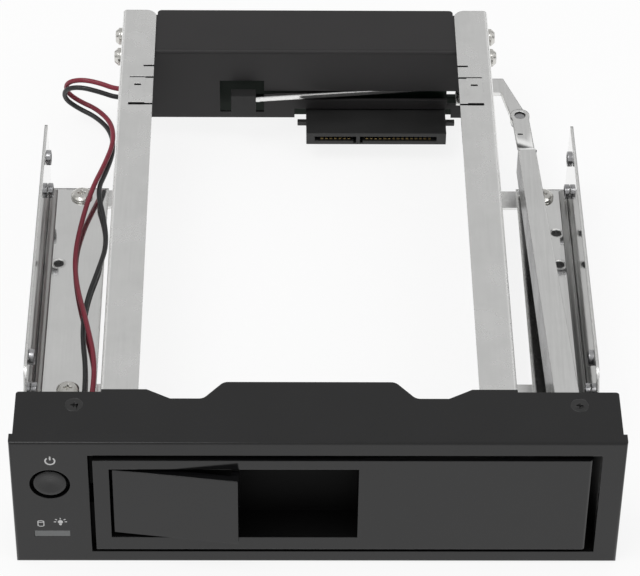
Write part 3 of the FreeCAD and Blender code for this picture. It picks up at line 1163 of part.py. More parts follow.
def assembly():
    pieces = {
        "bezel": bezel(), "bezel_screws": bezel_screws(), "door": door(), "door_hinge_pins": hinge_pins(),
        "door_crank_pin": crank_pin(), "handle": handle(), "handle_pin": handle_pin(),
        "handle_spring": handle_spring(), "power_button": power_button(), "light_pipe": light_pipe(),
        "front_board": front_board(), "front_board_screws": front_board_screws(),
        "power_switch": power_switch(), "status_leds": status_leds(), "lead_plug": lead_plug(),
        "rail_left": rail_left(), "rail_right": rail_right(), "bracket_left": bracket(-1),
        "bracket_right": bracket(1), "bracket_screws": bracket_screws(), "rear_cover": rear_cover(),
        "cover_screws": cover_screws(), "standoffs": standoffs(), "backplane": backplane(),
        "backplane_screws": backplane_screws(), "drive_receptacle": drive_receptacle(),
        "receptacle_contacts": receptacle_contacts(), "rear_data_socket": rear_socket(REAR_DATA_X),
        "rear_power_socket": rear_socket(REAR_POWER_X), "lead_header": lead_header(),
        "ejector_lever": ejector_lever(), "ejector_boot": ejector_boot(),
        "ejector_rivet": ejector_rivet(), "push_rod": push_rod(), "push_rod_rivet": rod_rivet()}
    pieces.update(leads())
    return pieces


def main():
    pieces = assembly()
    front = min(solid.BoundBox.YMin for solid in pieces.values())
    rear = max(solid.BoundBox.YMax for solid in pieces.values())
    middle = (front + rear) / 2
    print("moved along Y by %.4f" % -middle)
    os.makedirs("parts", exist_ok=True)
    for name, solid in pieces.items():
        solid.translate(V(0, -middle, 0))
        solid.exportStep("parts/%s.step" % name)


main()
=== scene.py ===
"""Looks of the hot swap drive cage: mouldings, sheet metal, screws, leads, boards and marks."""

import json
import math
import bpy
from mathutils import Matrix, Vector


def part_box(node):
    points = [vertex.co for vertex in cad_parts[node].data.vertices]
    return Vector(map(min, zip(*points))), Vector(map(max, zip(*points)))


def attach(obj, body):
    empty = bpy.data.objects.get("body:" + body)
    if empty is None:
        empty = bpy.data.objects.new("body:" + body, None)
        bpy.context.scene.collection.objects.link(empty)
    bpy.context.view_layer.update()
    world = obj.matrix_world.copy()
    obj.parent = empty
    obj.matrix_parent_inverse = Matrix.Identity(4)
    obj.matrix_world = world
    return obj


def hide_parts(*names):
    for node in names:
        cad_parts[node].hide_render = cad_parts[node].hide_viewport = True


bl_info = {
    "name": "Hot Swap Drive Cage",
    "version": (1, 0, 0),
    "blender": (4, 5, 0),
    "location": "3D View > Sidebar > Drive Cage",
    "description": "Builds the pieces and finishes of a trayless hot swap drive cage",
    "category": "Object",
}

import bpy
from mathutils import Matrix, Vector

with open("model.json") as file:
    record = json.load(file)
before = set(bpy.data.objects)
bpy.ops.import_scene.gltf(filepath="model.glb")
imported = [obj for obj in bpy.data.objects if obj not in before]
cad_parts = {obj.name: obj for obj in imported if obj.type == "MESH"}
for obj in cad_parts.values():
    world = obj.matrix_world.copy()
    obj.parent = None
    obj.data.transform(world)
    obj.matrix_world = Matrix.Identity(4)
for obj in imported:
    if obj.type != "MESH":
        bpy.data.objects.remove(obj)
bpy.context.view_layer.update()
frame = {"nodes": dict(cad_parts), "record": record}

MM = 0.001
FRONT_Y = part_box("bezel")[0].y          # the bezel's front face, where the drawing has Y = 0
PLATE_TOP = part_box("bezel")[1].z
BODY_OF = {node: body for body, nodes in frame["record"]["behaviour"]["bodies"].items()
           for node in nodes}
SLOT_OF = {part["node"]: part["material_slot"] for part in frame["record"]["subparts"]}


def at(x, y, z):
    """A point of the drawing, in millimetres, as a place in the frame."""
    return Vector((x * MM, FRONT_Y + y * MM, z * MM))


# ---- settings --------------------------------------------------------------------------------
def length(name, text, default):
    return bpy.props.FloatProperty(name=name, description=text, default=default,
                                   subtype="DISTANCE", unit="LENGTH", min=0.0, precision=5)


def colour(name, text, default):
    return bpy.props.FloatVectorProperty(name=name, description=text, default=default,
                                         subtype="COLOR", size=3, min=0.0, max=1.0)


class CageSizes(bpy.types.PropertyGroup):
    moulding_edge: length("Moulding edge", "Softened edges of the handle and the button", 0.00022)
    small_edge: length("Small edge", "Softened edges of small plastic pieces", 0.00014)
    lead_diameter: length("Lead diameter", "Outside diameter of both leads", 0.0014)
    mark_line: length("Mark line", "Width of the printed marks' lines", 0.00026)
    mark_thickness: length("Mark thickness", "Thickness of the printed marks", 0.00006)


class CageColours(bpy.types.PropertyGroup):
    moulding: colour("Moulding", "Black plastic of the bezel and the door",
                     (0.0045, 0.0045, 0.0048))
    handle: colour("Handle", "Glossy plastic of the handle", (0.0040, 0.0040, 0.0044))
    steel: colour("Steel", "Zinc-plated sheet", (0.84, 0.84, 0.83))
    painted: colour("Painted steel", "Black paint of the rear cover", (0.014, 0.013, 0.0135))
    red: colour("Red lead", "Insulation of the red lead", (0.22, 0.016, 0.034))
    black: colour("Black lead", "Insulation of the black lead", (0.016, 0.016, 0.017))
    mark: colour("Marks", "Printed marks on the bezel", (0.55, 0.55, 0.55))
    board: colour("Circuit board", "Solder mask of both boards", (0.004, 0.011, 0.006))
    floor: colour("Floor", "Floor and backdrop", (0.86, 0.86, 0.86))


def sizes():
    return bpy.context.scene.cage_sizes


def colours():
    return bpy.context.scene.cage_colours


# ---- node groups -----------------------------------------------------------------------------
class Nodes:
    """Adds and links the nodes of one tree."""

    def __init__(self, tree):
        self.tree = tree

    def add(self, kind, settings=None, **inputs):
        node = self.tree.nodes.new(kind)
        for key, value in (settings or {}).items():
            setattr(node, key, value)
        for key, value in inputs.items():
            self.put(node, key.replace("_", " "), value)
        return node

    def put(self, node, key, value):
        socket = node.inputs[int(key)] if key.isdigit() else node.inputs[key]
        if isinstance(value, bpy.types.NodeSocket):
            self.tree.links.new(value, socket)
        else:
            socket.default_value = value

    def math(self, operation, a, b=0.0):
        node = self.add("ShaderNodeMath", {"operation": operation})
        self.put(node, "0", a)
        self.put(node, "1", b)
        return node.outputs[0]

    def vector(self, operation, result, a, b=(0.0, 0.0, 0.0)):
        node = self.add("ShaderNodeVectorMath", {"operation": operation})
        self.put(node, "0", a)
        self.put(node, "1", b)
        return node.outputs[result]

    def remap(self, value, low, high, to_low, to_high):
        node = self.add("ShaderNodeMapRange", None)
        for key, entry in (("Value", value), ("From Min", low), ("From Max", high),
                           ("To Min", to_low), ("To Max", to_high)):
            self.put(node, key, entry)
        return node.outputs["Result"]

    def mix(self, factor, a, b, blend="MIX"):
        node = self.add("ShaderNodeMix", {"data_type": "RGBA", "blend_type": blend})
        self.put(node, "0", factor)
        self.put(node, "6", a)
        self.put(node, "7", b)
        return node.outputs[2]


def new_group(name, inputs, outputs):
    """Node group with named sockets; inputs and outputs are (name, kind, default)."""
    tree = bpy.data.node_groups.new(name, "ShaderNodeTree")
    for direction, entries in (("INPUT", inputs), ("OUTPUT", outputs)):
        for title, kind, default in entries:
            socket = tree.interface.new_socket(title, in_out=direction, socket_type=kind)
            if default is not None:
                socket.default_value = default
    made = Nodes(tree)
    return made, made.add("NodeGroupInput"), made.add("NodeGroupOutput")


FLOAT = "NodeSocketFloat"
VECTOR = "NodeSocketVector"

# scales of the textures, in cells per metre
MOTTLE_SCALE = 55.0
RUB_SCALE = 420.0
STREAK_SCALE = 1400.0
CLOUD_SCALE = 70.0
SPANGLE_SCALE = 260.0
STREAK_STRETCH = (1.0, 0.04, 1.0)    # the streaks run along Y
BEVEL_SAMPLES = 6


def noise(n, place, scale, detail, roughness=0.5):
    """Grey of a noise texture."""
    return n.add("ShaderNodeTexNoise", None, Vector=place, Scale=scale, Detail=detail,
                 Roughness=roughness).outputs["Fac"]


def group_moulded_grain():
    """Fine spark-eroded texture of a moulding, with the soft mottling of its gloss."""
    n, given, out = new_group(
        "moulded_grain",
        [("Vector", VECTOR, None), ("Grain", FLOAT, 9000.0), ("Gloss", FLOAT, 0.35),
         ("Spread", FLOAT, 0.08)],
        [("Roughness", FLOAT, None), ("Height", FLOAT, None), ("Tone", FLOAT, None)])
    fine = noise(n, given.outputs["Vector"], given.outputs["Grain"], 3.0, 0.6)
    broad = noise(n, given.outputs["Vector"], MOTTLE_SCALE, 4.0, 0.55)
    swing = n.math("MULTIPLY", n.math("SUBTRACT", broad, 0.5), given.outputs["Spread"])
    rough = n.math("ADD", given.outputs["Gloss"], n.math("MULTIPLY", swing, 2.0))
    n.put(out, "Roughness", rough)
    n.put(out, "Height", fine)
    n.put(out, "Tone", broad)


def group_soft_edges():
    """Rounded edges as a normal, and a mask of the rubbed edges, broken up by noise."""
    n, given, out = new_group(
        "soft_edges",
        [("Vector", VECTOR, None), ("Amount", FLOAT, 0.5), ("Round", FLOAT, 0.00022)],
        [("Normal", VECTOR, None), ("Mask", FLOAT, None)])
    bevel = n.add("ShaderNodeBevel", {"samples": BEVEL_SAMPLES}, Radius=given.outputs["Round"])
    round_edge = bevel.outputs["Normal"]
    flat = n.add("ShaderNodeNewGeometry").outputs["Normal"]
    turned_by = n.vector("DOT_PRODUCT", "Value", round_edge, flat)
    sharp = n.remap(turned_by, 0.90, 0.99, 1.0, 0.0)
    broken = n.remap(noise(n, given.outputs["Vector"], RUB_SCALE, 5.0, 0.65), 0.42, 0.62, 0.0, 1.0)
    rubbed = n.math("MULTIPLY", sharp, broken)
    n.put(out, "Normal", round_edge)
    n.put(out, "Mask", n.math("MULTIPLY", rubbed, given.outputs["Amount"]))


def group_plated_sheet():
    """Zinc plate: faint rolling streaks along Y, cloudy spangle and finger smudges."""
    n, given, out = new_group(
        "plated_sheet",
        [("Vector", VECTOR, None), ("Gloss", FLOAT, 0.28), ("Streaks", FLOAT, 1.0),
         ("Clouds", FLOAT, 1.0)],
        [("Tone", FLOAT, None), ("Roughness", FLOAT, None), ("Height", FLOAT, None)])
    place = given.outputs["Vector"]
    stretched = n.add("ShaderNodeMapping", None, Vector=place, Scale=STREAK_STRETCH)
    rolled = noise(n, stretched.outputs["Vector"], STREAK_SCALE, 4.0, 0.6)
    cloud = noise(n, place, CLOUD_SCALE, 5.0, 0.62)
    spangle = n.add("ShaderNodeTexVoronoi", None, Vector=place, Scale=SPANGLE_SCALE)
    facet = n.add("ShaderNodeSeparateColor", None, Color=spangle.outputs["Color"]).outputs[0]
    tone = n.math("ADD", n.remap(cloud, 0.3, 0.7, -0.035, 0.035),
                  n.remap(facet, 0.0, 1.0, -0.006, 0.006))
    streak = n.math("MULTIPLY", n.remap(rolled, 0.3, 0.7, -0.018, 0.018),
                    given.outputs["Streaks"])
    n.put(out, "Tone", n.math("ADD", 1.0, n.math("ADD", tone, streak)))
    smudge = n.math("MULTIPLY", n.remap(cloud, 0.35, 0.75, -0.03, 0.08), given.outputs["Clouds"])
    n.put(out, "Roughness", n.math("ADD", given.outputs["Gloss"], smudge))
    n.put(out, "Height", rolled)


def place_group(n, name, **inputs):
    return n.add("ShaderNodeGroup", {"node_tree": bpy.data.node_groups[name]}, **inputs)


# ---- materials -------------------------------------------------------------------------------
FINISH_END = "_finish"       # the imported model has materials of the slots' own names
DARKER, LIGHTER = 0.85, 1.15     # how far a colour swings where it is mottled
BRIGHTER = 1.12                  # steel where its edges are rubbed
GRAIN_BUMP = 0.35
SHEET_BUMP = 0.12
STREAK_DEPTH = 0.000008
RING_PITCH = 0.0007              # rings of the button's face
RING_BUMP = 0.5
RING_DEPTH = 0.000006
BUTTON_ANISOTROPY = 0.85
BLACK = (0.0, 0.0, 0.0)


def finish_of(name):
    return bpy.data.materials[name + FINISH_END]


def new_material(name):
    """Empty material with its output, its shader and the piece's own coordinates."""
    material = bpy.data.materials.new(name + FINISH_END)
    material.use_nodes = True
    material.node_tree.nodes.clear()
    n = Nodes(material.node_tree)
    shader = n.add("ShaderNodeBsdfPrincipled")
    n.add("ShaderNodeOutputMaterial", None, Surface=shader.outputs["BSDF"])
    place = n.add("ShaderNodeTexCoord").outputs["Object"]
    return n, shader, place


def mottled(n, tint, tone):
    """A colour that swings from darker to lighter with a tone between 0 and 1."""
    return n.mix(tone, shade(tint, DARKER), shade(tint, LIGHTER))


def bump(n, shader, height, strength, distance, normal):
    node = n.add("ShaderNodeBump", None, Height=height, Strength=strength, Distance=distance,
                 Normal=normal)
    n.put(shader, "Normal", node.outputs["Normal"])


def shade(tint, factor):
    return tuple(min(1.0, part * factor) for part in tint) + (1.0,)


def plastic(name, tint, gloss, spread, grain, depth, wear, worn, index):
    """Moulded plastic with its grain, mottled gloss and rubbed edges."""
    n, shader, place = new_material(name)
    shader.inputs["IOR"].default_value = index
    grained = place_group(n, "moulded_grain", Vector=place, Grain=grain, Gloss=gloss,
                          Spread=spread)
    edge = place_group(n, "soft_edges", Vector=place, Amount=wear)
    base = mottled(n, tint, n.remap(grained.outputs["Tone"], 0.3, 0.7, 0.0, 1.0))
    n.put(shader, "Base Color", n.mix(edge.outputs["Mask"], base, shade(worn, 1.0)))
    n.put(shader, "Roughness", grained.outputs["Roughness"])
    bump(n, shader, grained.outputs["Height"], GRAIN_BUMP, depth, edge.outputs["Normal"])


def steel(name, tint, gloss, streaks, cloud, bend):
    """Plated sheet steel with streaks along its length and edges rubbed bright."""
    n, shader, place = new_material(name)
    sheet = place_group(n, "plated_sheet", Vector=place, Gloss=gloss, Streaks=streaks, Clouds=cloud)
    edge = place_group(n, "soft_edges", Vector=place, Amount=0.5, Round=bend)
    base = mottled(n, tint, n.remap(sheet.outputs["Tone"], DARKER, LIGHTER, 0.0, 1.0))
    n.put(shader, "Base Color", n.mix(edge.outputs["Mask"], base, shade(tint, BRIGHTER)))
    n.put(shader, "Roughness", sheet.outputs["Roughness"])
    shader.inputs["Metallic"].default_value = 1.0
    bump(n, shader, sheet.outputs["Height"], SHEET_BUMP, STREAK_DEPTH, edge.outputs["Normal"])


def turned(name, tint):
    """Plastic face with the fine rings that a turned mould leaves, about the button's axis."""
    n, shader, place = new_material(name)
    low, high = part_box("power_button")
    centred = n.vector("SUBTRACT", "Vector", place, (low + high) / 2)
    flat = n.vector("MULTIPLY", "Vector", centred, (1.0, 0.0, 1.0))
    radius = n.vector("LENGTH", "Value", flat)
    rings = n.math("SINE", n.math("MULTIPLY", radius, 2.0 * math.pi / RING_PITCH))
    edge = place_group(n, "soft_edges", Vector=place, Amount=0.3)
    cloud = noise(n, place, 300.0, 3.0)
    n.put(shader, "Base Color", n.mix(cloud, shade(tint, 0.8), shade(tint, 1.3)))
    n.put(shader, "Roughness", n.remap(cloud, 0.3, 0.7, 0.22, 0.30))
    shader.inputs["Anisotropic"].default_value = BUTTON_ANISOTROPY
    around = n.add("ShaderNodeTangent", {"direction_type": "RADIAL", "axis": "Y"})
    n.put(shader, "Tangent", around.outputs["Tangent"])
    bump(n, shader, rings, RING_BUMP, RING_DEPTH, edge.outputs["Normal"])


def ink(name, tint):
    """Matt printing ink, slightly uneven."""
    n, shader, place = new_material(name)
    cloud = noise(n, place, 2500.0, 3.0)
    n.put(shader, "Base Color", mottled(n, tint, cloud))
    n.put(shader, "Roughness", n.remap(cloud, 0.3, 0.7, 0.45, 0.6))


# Each colour is a colour of its own or the name of a setting.
# name: colour, gloss, spread of the gloss, grain, its depth, wear, worn colour, index
PLASTICS = {
    "black_abs": ("moulding", 0.13, 0.05, 2600.0, 0.000004, 0.35, (0.03, 0.03, 0.03), 1.5),
    # blacker, hardly reflecting copy of the moulding: painted shade on the walls inside the bezel
    # and the door
    "inner_abs": ((0.0030, 0.0030, 0.0030), 0.60, 0.10, 1500.0, 0.00002, 0.0, BLACK, 1.20),
    "handle_plastic": ("handle", 0.10, 0.03, 1800.0, 0.000003, 0.35, (0.03, 0.03, 0.03), 1.5),
    "black_steel": ("painted", 0.50, 0.08, 2600.0, 0.00001, 0.4, (0.05, 0.05, 0.05), 1.45),
    # near-black and hardly reflecting: painted shadow on the rails' slot walls and inside the bay
    # holes' collars
    "slot_dark": ((0.004, 0.004, 0.004), 0.7, 0.1, 2000.0, 0.00001, 0.0, BLACK, 1.2),
    "black_screws": ((0.014, 0.014, 0.014), 0.3, 0.1, 6000.0, 0.00001, 0.6, (0.12, 0.12, 0.12),
                     1.5),
    "circuit_board": ("board", 0.55, 0.10, 2600.0, 0.00001, 0.2, (0.05, 0.06, 0.03), 1.3),
    "connector_plastic": ((0.016, 0.016, 0.016), 0.4, 0.1, 7000.0, 0.00002, 0.3, (0.06, 0.06, 0.06),
                          1.5),
    "nylon_plug": ((0.70, 0.68, 0.60), 0.35, 0.08, 4000.0, 0.00001, 0.2, (0.8, 0.8, 0.75), 1.5),
    "boot_rubber": ((0.014, 0.014, 0.014), 0.62, 0.12, 4500.0, 0.00004, 0.3, (0.05, 0.05, 0.05),
                    1.5),
    "light_pipe_clear": ((0.13, 0.135, 0.135), 0.25, 0.06, 3000.0, 0.00001, 0.2, (0.5, 0.5, 0.5),
                         1.5),
    "led_resin": ((0.70, 0.66, 0.45), 0.2, 0.05, 3000.0, 0.00001, 0.1, (0.8, 0.8, 0.7), 1.5),
    "red_insulation": ("red", 0.36, 0.10, 5200.0, 0.00002, 0.0, (0.3, 0.05, 0.05), 1.5),
    "black_insulation": ("black", 0.38, 0.10, 5200.0, 0.00002, 0.0, (0.05, 0.05, 0.05), 1.5),
}
# name: colour, gloss, streaks, clouds, radius of its softened edges
STEELS = {
    "zinc_steel": ("steel", 0.24, 1.0, 1.0, 0.0003),
    "bright_zinc": ("steel", 0.06, 0.8, 0.5, 0.0012),
    "drawn_zinc": ("steel", 0.12, 2.2, 0.6, 0.0006),
    # near-black zinc: painted shade and dark reflection on the push rod's flanges, painted shadow
    # in the discs in the foot holes
    "dark_zinc": ((0.07, 0.07, 0.07), 0.25, 8.0, 1.0, 0.0003),
    # darker zinc for the brackets' bend fillets: painted dark reflection along the bend
    "bend_zinc": ((0.46, 0.46, 0.455), 0.34, 1.0, 1.0, 0.0003),
    "bright_screws": ((0.66, 0.65, 0.62), 0.2, 0.4, 1.0, 0.0003),
    "spring_steel": ((0.42, 0.42, 0.43), 0.25, 0.6, 1.0, 0.0003),
    "gold_contacts": ((0.55, 0.40, 0.17), 0.25, 0.3, 1.0, 0.0003),
}


def tint_of(tint):
    """A colour, or the setting that a name stands for."""
    return getattr(colours(), tint) if isinstance(tint, str) else tint


def make_finishes():
    """All node groups and materials: the record's slot names and a few finishes more."""
    group_moulded_grain()
    group_soft_edges()
    group_plated_sheet()
    for name, (tint, *values) in PLASTICS.items():
        plastic(name, tint_of(tint), *values)
    for name, (tint, *values) in STEELS.items():
        steel(name, tint_of(tint), *values)
    turned("turned_button", colours().moulding)
    ink("mark_ink", colours().mark)


# ---- leads -----------------------------------------------------------------------------------
RED_ROUTE = [
    (-0.0118, 0.1756, 0.0180), (-0.0196, 0.1756, 0.0180), (-0.0330, 0.1734, 0.0174),
    (-0.0456, 0.1694, 0.0154), (-0.0546, 0.1678, 0.0150), (-0.0612, 0.1696, 0.0166),
    (-0.0662, 0.1708, 0.0166), (-0.0702, 0.1723, 0.0142), (-0.0704, 0.1737, 0.0097),
    (-0.0670, 0.1737, 0.0064), (-0.0616, 0.1712, 0.0054), (-0.0572, 0.1650, 0.0053),
    (-0.0563, 0.1564, 0.0055), (-0.0584, 0.1464, 0.0057), (-0.0614, 0.1364, 0.0057),
    (-0.0638, 0.1250, 0.0040), (-0.0654, 0.1110, 0.0026), (-0.0641, 0.0976, 0.0032),
    (-0.0608, 0.0830, 0.0045), (-0.0574, 0.0660, 0.0040), (-0.0586, 0.0480, 0.0032),
    (-0.0614, 0.0334, 0.0044), (-0.0626, 0.0236, 0.0071), (-0.0626, 0.0156, 0.0071)]
BLACK_ROUTE = [
    (-0.0118, 0.1756, 0.0158), (-0.0194, 0.1756, 0.0158), (-0.0330, 0.1730, 0.0150),
    (-0.0454, 0.1686, 0.0126), (-0.0548, 0.1676, 0.0122), (-0.0610, 0.1682, 0.0144),
    (-0.0664, 0.1692, 0.0152), (-0.0706, 0.1707, 0.0131), (-0.0709, 0.1720, 0.0086),
    (-0.0673, 0.1719, 0.0053), (-0.0618, 0.1693, 0.0040), (-0.0574, 0.1634, 0.0036),
    (-0.0563, 0.1546, 0.0037), (-0.0580, 0.1450, 0.0040), (-0.0602, 0.1360, 0.0048),
    (-0.0579, 0.1262, 0.0032), (-0.0567, 0.1156, 0.0024), (-0.0585, 0.1060, 0.0024),
    (-0.0612, 0.0936, 0.0023), (-0.0619, 0.0806, 0.0023), (-0.0601, 0.0660, 0.0024),
    (-0.0602, 0.0500, 0.0026), (-0.0638, 0.0360, 0.0042), (-0.0654, 0.0250, 0.0071),
    (-0.0654, 0.0156, 0.0071)]


def lead(name, node, route):
    """Limp round lead on one smooth spline, from the header to the plug."""
    curve = bpy.data.curves.new(name, "CURVE")
    curve.dimensions = "3D"
    curve.bevel_depth = sizes().lead_diameter / 2
    curve.bevel_resolution = 5
    curve.resolution_u = 8
    curve.use_fill_caps = True
    spline = curve.splines.new("NURBS")
    spline.points.add(len(route) - 1)
    for point, (x, y, z) in zip(spline.points, route):
        point.co = (x, y + FRONT_Y, z, 1.0)
    spline.order_u = 3
    spline.use_endpoint_u = True
    piece = bpy.data.objects.new(name, curve)
    bpy.context.scene.collection.objects.link(piece)
    finish_piece(piece, SLOT_OF[node], "cage", node)


# ---- making and shaping ----------------------------------------------------------------------
MERGE_WITHIN = 0.000001
SMOOTH_UNDER = math.radians(35.0)    # faces that meet at less are shaded as one
RECESS_ARM = 0.56                    # width of a cross recess's arm, as a share of its reach
RECESS_TAPER = 0.45                  # its width at the bottom, as a share of that at the top


def only(piece):
    """Object mode, with nothing selected but this piece, which is active."""
    if bpy.context.object and bpy.context.object.mode != "OBJECT":
        bpy.ops.object.mode_set(mode="OBJECT")
    bpy.ops.object.select_all(action="DESELECT")
    piece.select_set(True)
    bpy.context.view_layer.objects.active = piece


def finish_piece(piece, finish, body, *nodes):
    """Gives a piece its material, its body and the CAD nodes that it stands for."""
    piece.data.materials.clear()
    piece.data.materials.append(finish_of(finish))
    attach(piece, body)
    if nodes:
        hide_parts(*nodes)


def merged_copy(node):
    """Copy of a CAD node with its triangles joined into faces."""
    source = frame["nodes"][node]
    piece = bpy.data.objects.new(node + "_dressed", source.data.copy())
    bpy.context.scene.collection.objects.link(piece)
    only(piece)
    bpy.ops.object.mode_set(mode="EDIT")
    bpy.ops.mesh.select_all(action="SELECT")
    bpy.ops.mesh.remove_doubles(threshold=MERGE_WITHIN)
    bpy.ops.object.mode_set(mode="OBJECT")
    bpy.ops.mesh.customdata_custom_splitnormals_clear()
    return piece


def soften(piece, width, segments=2, angle=40.0):
    """Bevels the sharp edges where a width is given, and smooths the piece with its flats flat."""
    only(piece)
    if width:
        modify(piece, "BEVEL", width=width, segments=segments, limit_method="ANGLE",
               angle_limit=math.radians(angle), use_clamp_overlap=False)
    bpy.ops.object.shade_smooth_by_angle(angle=SMOOTH_UNDER)
    modify(piece, "WEIGHTED_NORMAL", keep_sharp=True)


INNER_BEHIND = 0.0016    # how far behind the front inner walls start,
INNER_UNDER = 0.0030     # how far under the plate's top they end,
INNER_REACH = 0.0700     # and how far out from the middle
SLOTS_AHEAD = (0.0240, 0.0440)   # where the rails' stamped slots lie, ahead of the rear end
SLOTS_ABOVE = 0.0300
ACROSS = 0.7             # least share of Y in the normal of a slot's long wall
UPWARD = 0.6             # least share of Z in the normal of the push rod's top


def inner_walls(face):
    """Walls behind the front, under the hood and between the plate's ends, which get a darker
    finish as painted shade.
    """
    x, y, z = face.center
    return y > FRONT_Y + INNER_BEHIND and z < PLATE_TOP - INNER_UNDER and abs(x) < INNER_REACH


def slot_walls(face):
    """Long walls of the slots stamped in a rail's top flange, which get a near-black finish as
    painted shadow.
    """
    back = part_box("rail_left")[1].y - face.center.y
    in_slots = SLOTS_AHEAD[0] < back < SLOTS_AHEAD[1] and face.center.z > SLOTS_ABOVE
    return in_slots and abs(face.normal.y) > ACROSS


def rod_flange(face):
    """Flanges of the push rod: its faces that don't look up, which get a near-black finish as
    painted shade and dark reflection.
    """
    return face.normal.z < UPWARD


def dress(node, width, segments=2, finish=None, inner=None, test=None):
    """The CAD node's own shape with softened edges, in its slot's finish or another.

    The faces that pass the test get the inner finish, a darker finish that paints shade on them.
    """
    piece = merged_copy(node)
    soften(piece, width, segments)
    finish_piece(piece, finish or SLOT_OF[node], BODY_OF[node], node)
    if inner:
        piece.data.materials.append(finish_of(inner))
        for face in piece.data.polygons:
            face.material_index = int(test(face))


def modify(piece, kind, **settings):
    """Adds a modifier with its settings and applies it."""
    only(piece)
    added = piece.modifiers.new(kind.lower(), kind)
    for key, value in settings.items():
        setattr(added, key, value)
    bpy.ops.object.modifier_apply(modifier=added.name)


def settle():
    """Applies the active piece's place, turn and scale to its mesh."""
    bpy.ops.object.transform_apply(location=True, rotation=True, scale=True)


def block(size, place, turn=0.0):
    """Block of the given size about a place, turned about Z; the start of a piece or a cutter."""
    bpy.ops.object.select_all(action="DESELECT")
    bpy.ops.mesh.primitive_cube_add(size=1.0, location=place,
                                    rotation=(0.0, 0.0, math.radians(turn)))
    piece = bpy.context.object
    piece.scale = size
    settle()
    return piece


def copied(piece, spots):
    """The piece, which stands at the first spot, and a copy with its own mesh at each other."""
    row = [piece]
    for spot in spots[1:]:
        only(piece)
        bpy.ops.object.duplicate(linked=False)
        bpy.ops.transform.translate(value=Vector(spot) - Vector(spots[0]))
        settle()
        row.append(bpy.context.object)
    return row


def joined(pieces, name):
    """One piece out of several."""
    only(pieces[0])
    for piece in pieces[1:]:
        piece.select_set(True)
    if len(pieces) > 1:
        bpy.ops.object.join()
    pieces[0].name = name
    return pieces[0]


def cut_away(piece, cutter):
    """Takes the cutter's space out of the piece and deletes the cutter."""
    modify(piece, "BOOLEAN", operation="DIFFERENCE", solver="EXACT", object=cutter)
    bpy.data.objects.remove(cutter)


def cross_recess(piece, place, axis, reach, depth):
    """Cuts a cross recess into a screw head, from its top's middle down against the axis."""
    for turn in (0.0, 90.0):
        bar = block((2 * reach, RECESS_ARM * reach, 2 * depth), (0.0, 0.0, 0.0), turn)
        bpy.ops.object.mode_set(mode="EDIT")
        bpy.ops.mesh.select_all(action="DESELECT")
        bpy.ops.object.mode_set(mode="OBJECT")
        for corner in bar.data.vertices:
            corner.select = corner.co.z < 0.0
        bpy.ops.object.mode_set(mode="EDIT")
        bpy.ops.transform.resize(value=(RECESS_TAPER, RECESS_TAPER, 1.0),
                                 center_override=(0.0, 0.0, 0.0))
        bpy.ops.object.mode_set(mode="OBJECT")
        bar.rotation_mode = "QUATERNION"
        bar.rotation_quaternion = Vector(axis).to_track_quat("Z", "Y")
        bar.location = place
        settle()
        cut_away(piece, bar)


# ---- operators -------------------------------------------------------------------------------
class CAGE_OT_leads(bpy.types.Operator):
    """Red and black lead, from the rear board to the front board"""
    bl_idname = "cage.leads"
    bl_label = "Leads"

    def execute(self, context):
        lead("lead_red_soft", "lead_red", RED_ROUTE)
        lead("lead_black_soft", "lead_black", BLACK_ROUTE)
        return {"FINISHED"}


class CAGE_OT_mouldings(bpy.types.Operator):
    """Bezel, door, handle and button with softened edges"""
    bl_idname = "cage.mouldings"
    bl_label = "Mouldings"

    def execute(self, context):
        for node in ("bezel", "door"):
            # the walls inside the bezel and the door get painted shade
            dress(node, 0.0, inner="inner_abs", test=inner_walls)
        dress("handle", sizes().moulding_edge)
        dress("power_button", sizes().moulding_edge, 3, "turned_button")
        for node in ("light_pipe", "ejector_boot", "drive_receptacle", "rear_data_socket",
                     "rear_power_socket", "power_switch"):
            dress(node, sizes().small_edge)
        return {"FINISHED"}


class CAGE_OT_sheet_metal(bpy.types.Operator):
    """Rails, brackets, cover, push rod and ejector lever"""
    bl_idname = "cage.sheet_metal"
    bl_label = "Sheet metal"

    def execute(self, context):
        for node in ("rail_left", "rail_right"):
            dress(node, 0.0, inner="slot_dark", test=slot_walls)
        dress("rear_cover", 0.0)
        for node in ("bracket_left", "bracket_right"):
            dress(node, 0.0, finish="bright_zinc")
        dress("push_rod", 0.0, finish="drawn_zinc", inner="dark_zinc", test=rod_flange)
        dress("ejector_lever", 0.0, finish="drawn_zinc")
        for side in (-1, 1):
            bay_collars(side)
            foot_hole_shadows(side)
            bend_fillet(side)
        return {"FINISHED"}


# brackets, in the drawing's millimetres: their holes along Y, and along Y and Z
PLATE_HOLES = {-1: (109.0,), 1: (109.0, 122.0)}
BAY_HOLES = ((50.6, 10.0), (50.6, 21.84), (129.85, 10.0), (129.85, 21.84))
# and in metres
SHEET = 0.0010
COLLAR_IN = 0.0006        # middle of the collars and threads, in from the wall
# name's end, radius, bore, depth, edge and finish of the rings at a bay hole
COLLAR_RINGS = (("_collars", 0.00210, 0.00148, 0.0014, 0.00018, "spring_steel"),
                # the inner ring is near-black: painted shade inside the bore
                ("_threads", 0.00152, 0.00120, 0.0012, 0.00004, "slot_dark"))
THROUGH = 0.0030          # depth of a cutter that goes right through a ring
SHADOW_DISC_IN = 0.0035          # middle of the dark discs in the foot's holes, in from the wall
SHADOW_DISC_R, SHADOW_DISC_DEPTH, SHADOW_DISC_EDGE = 0.00139, 0.0006, 0.00008
SHADOW_DISC_HEIGHT = 1.25        # their middle in the drawing
DIMPLE_R, DIMPLE_DEPTH = 0.0007, 0.0004
BEND_R = 0.0017
BEND_STARTS, BEND_ENDS = 0.0040, 0.0010    # clear of the bracket's front and rear end
BEND_SLACK = 0.985        # keeps the hollow of the bend short of the wall and the foot
BEND_SIDES = 48
ROUND_SIDES = 28


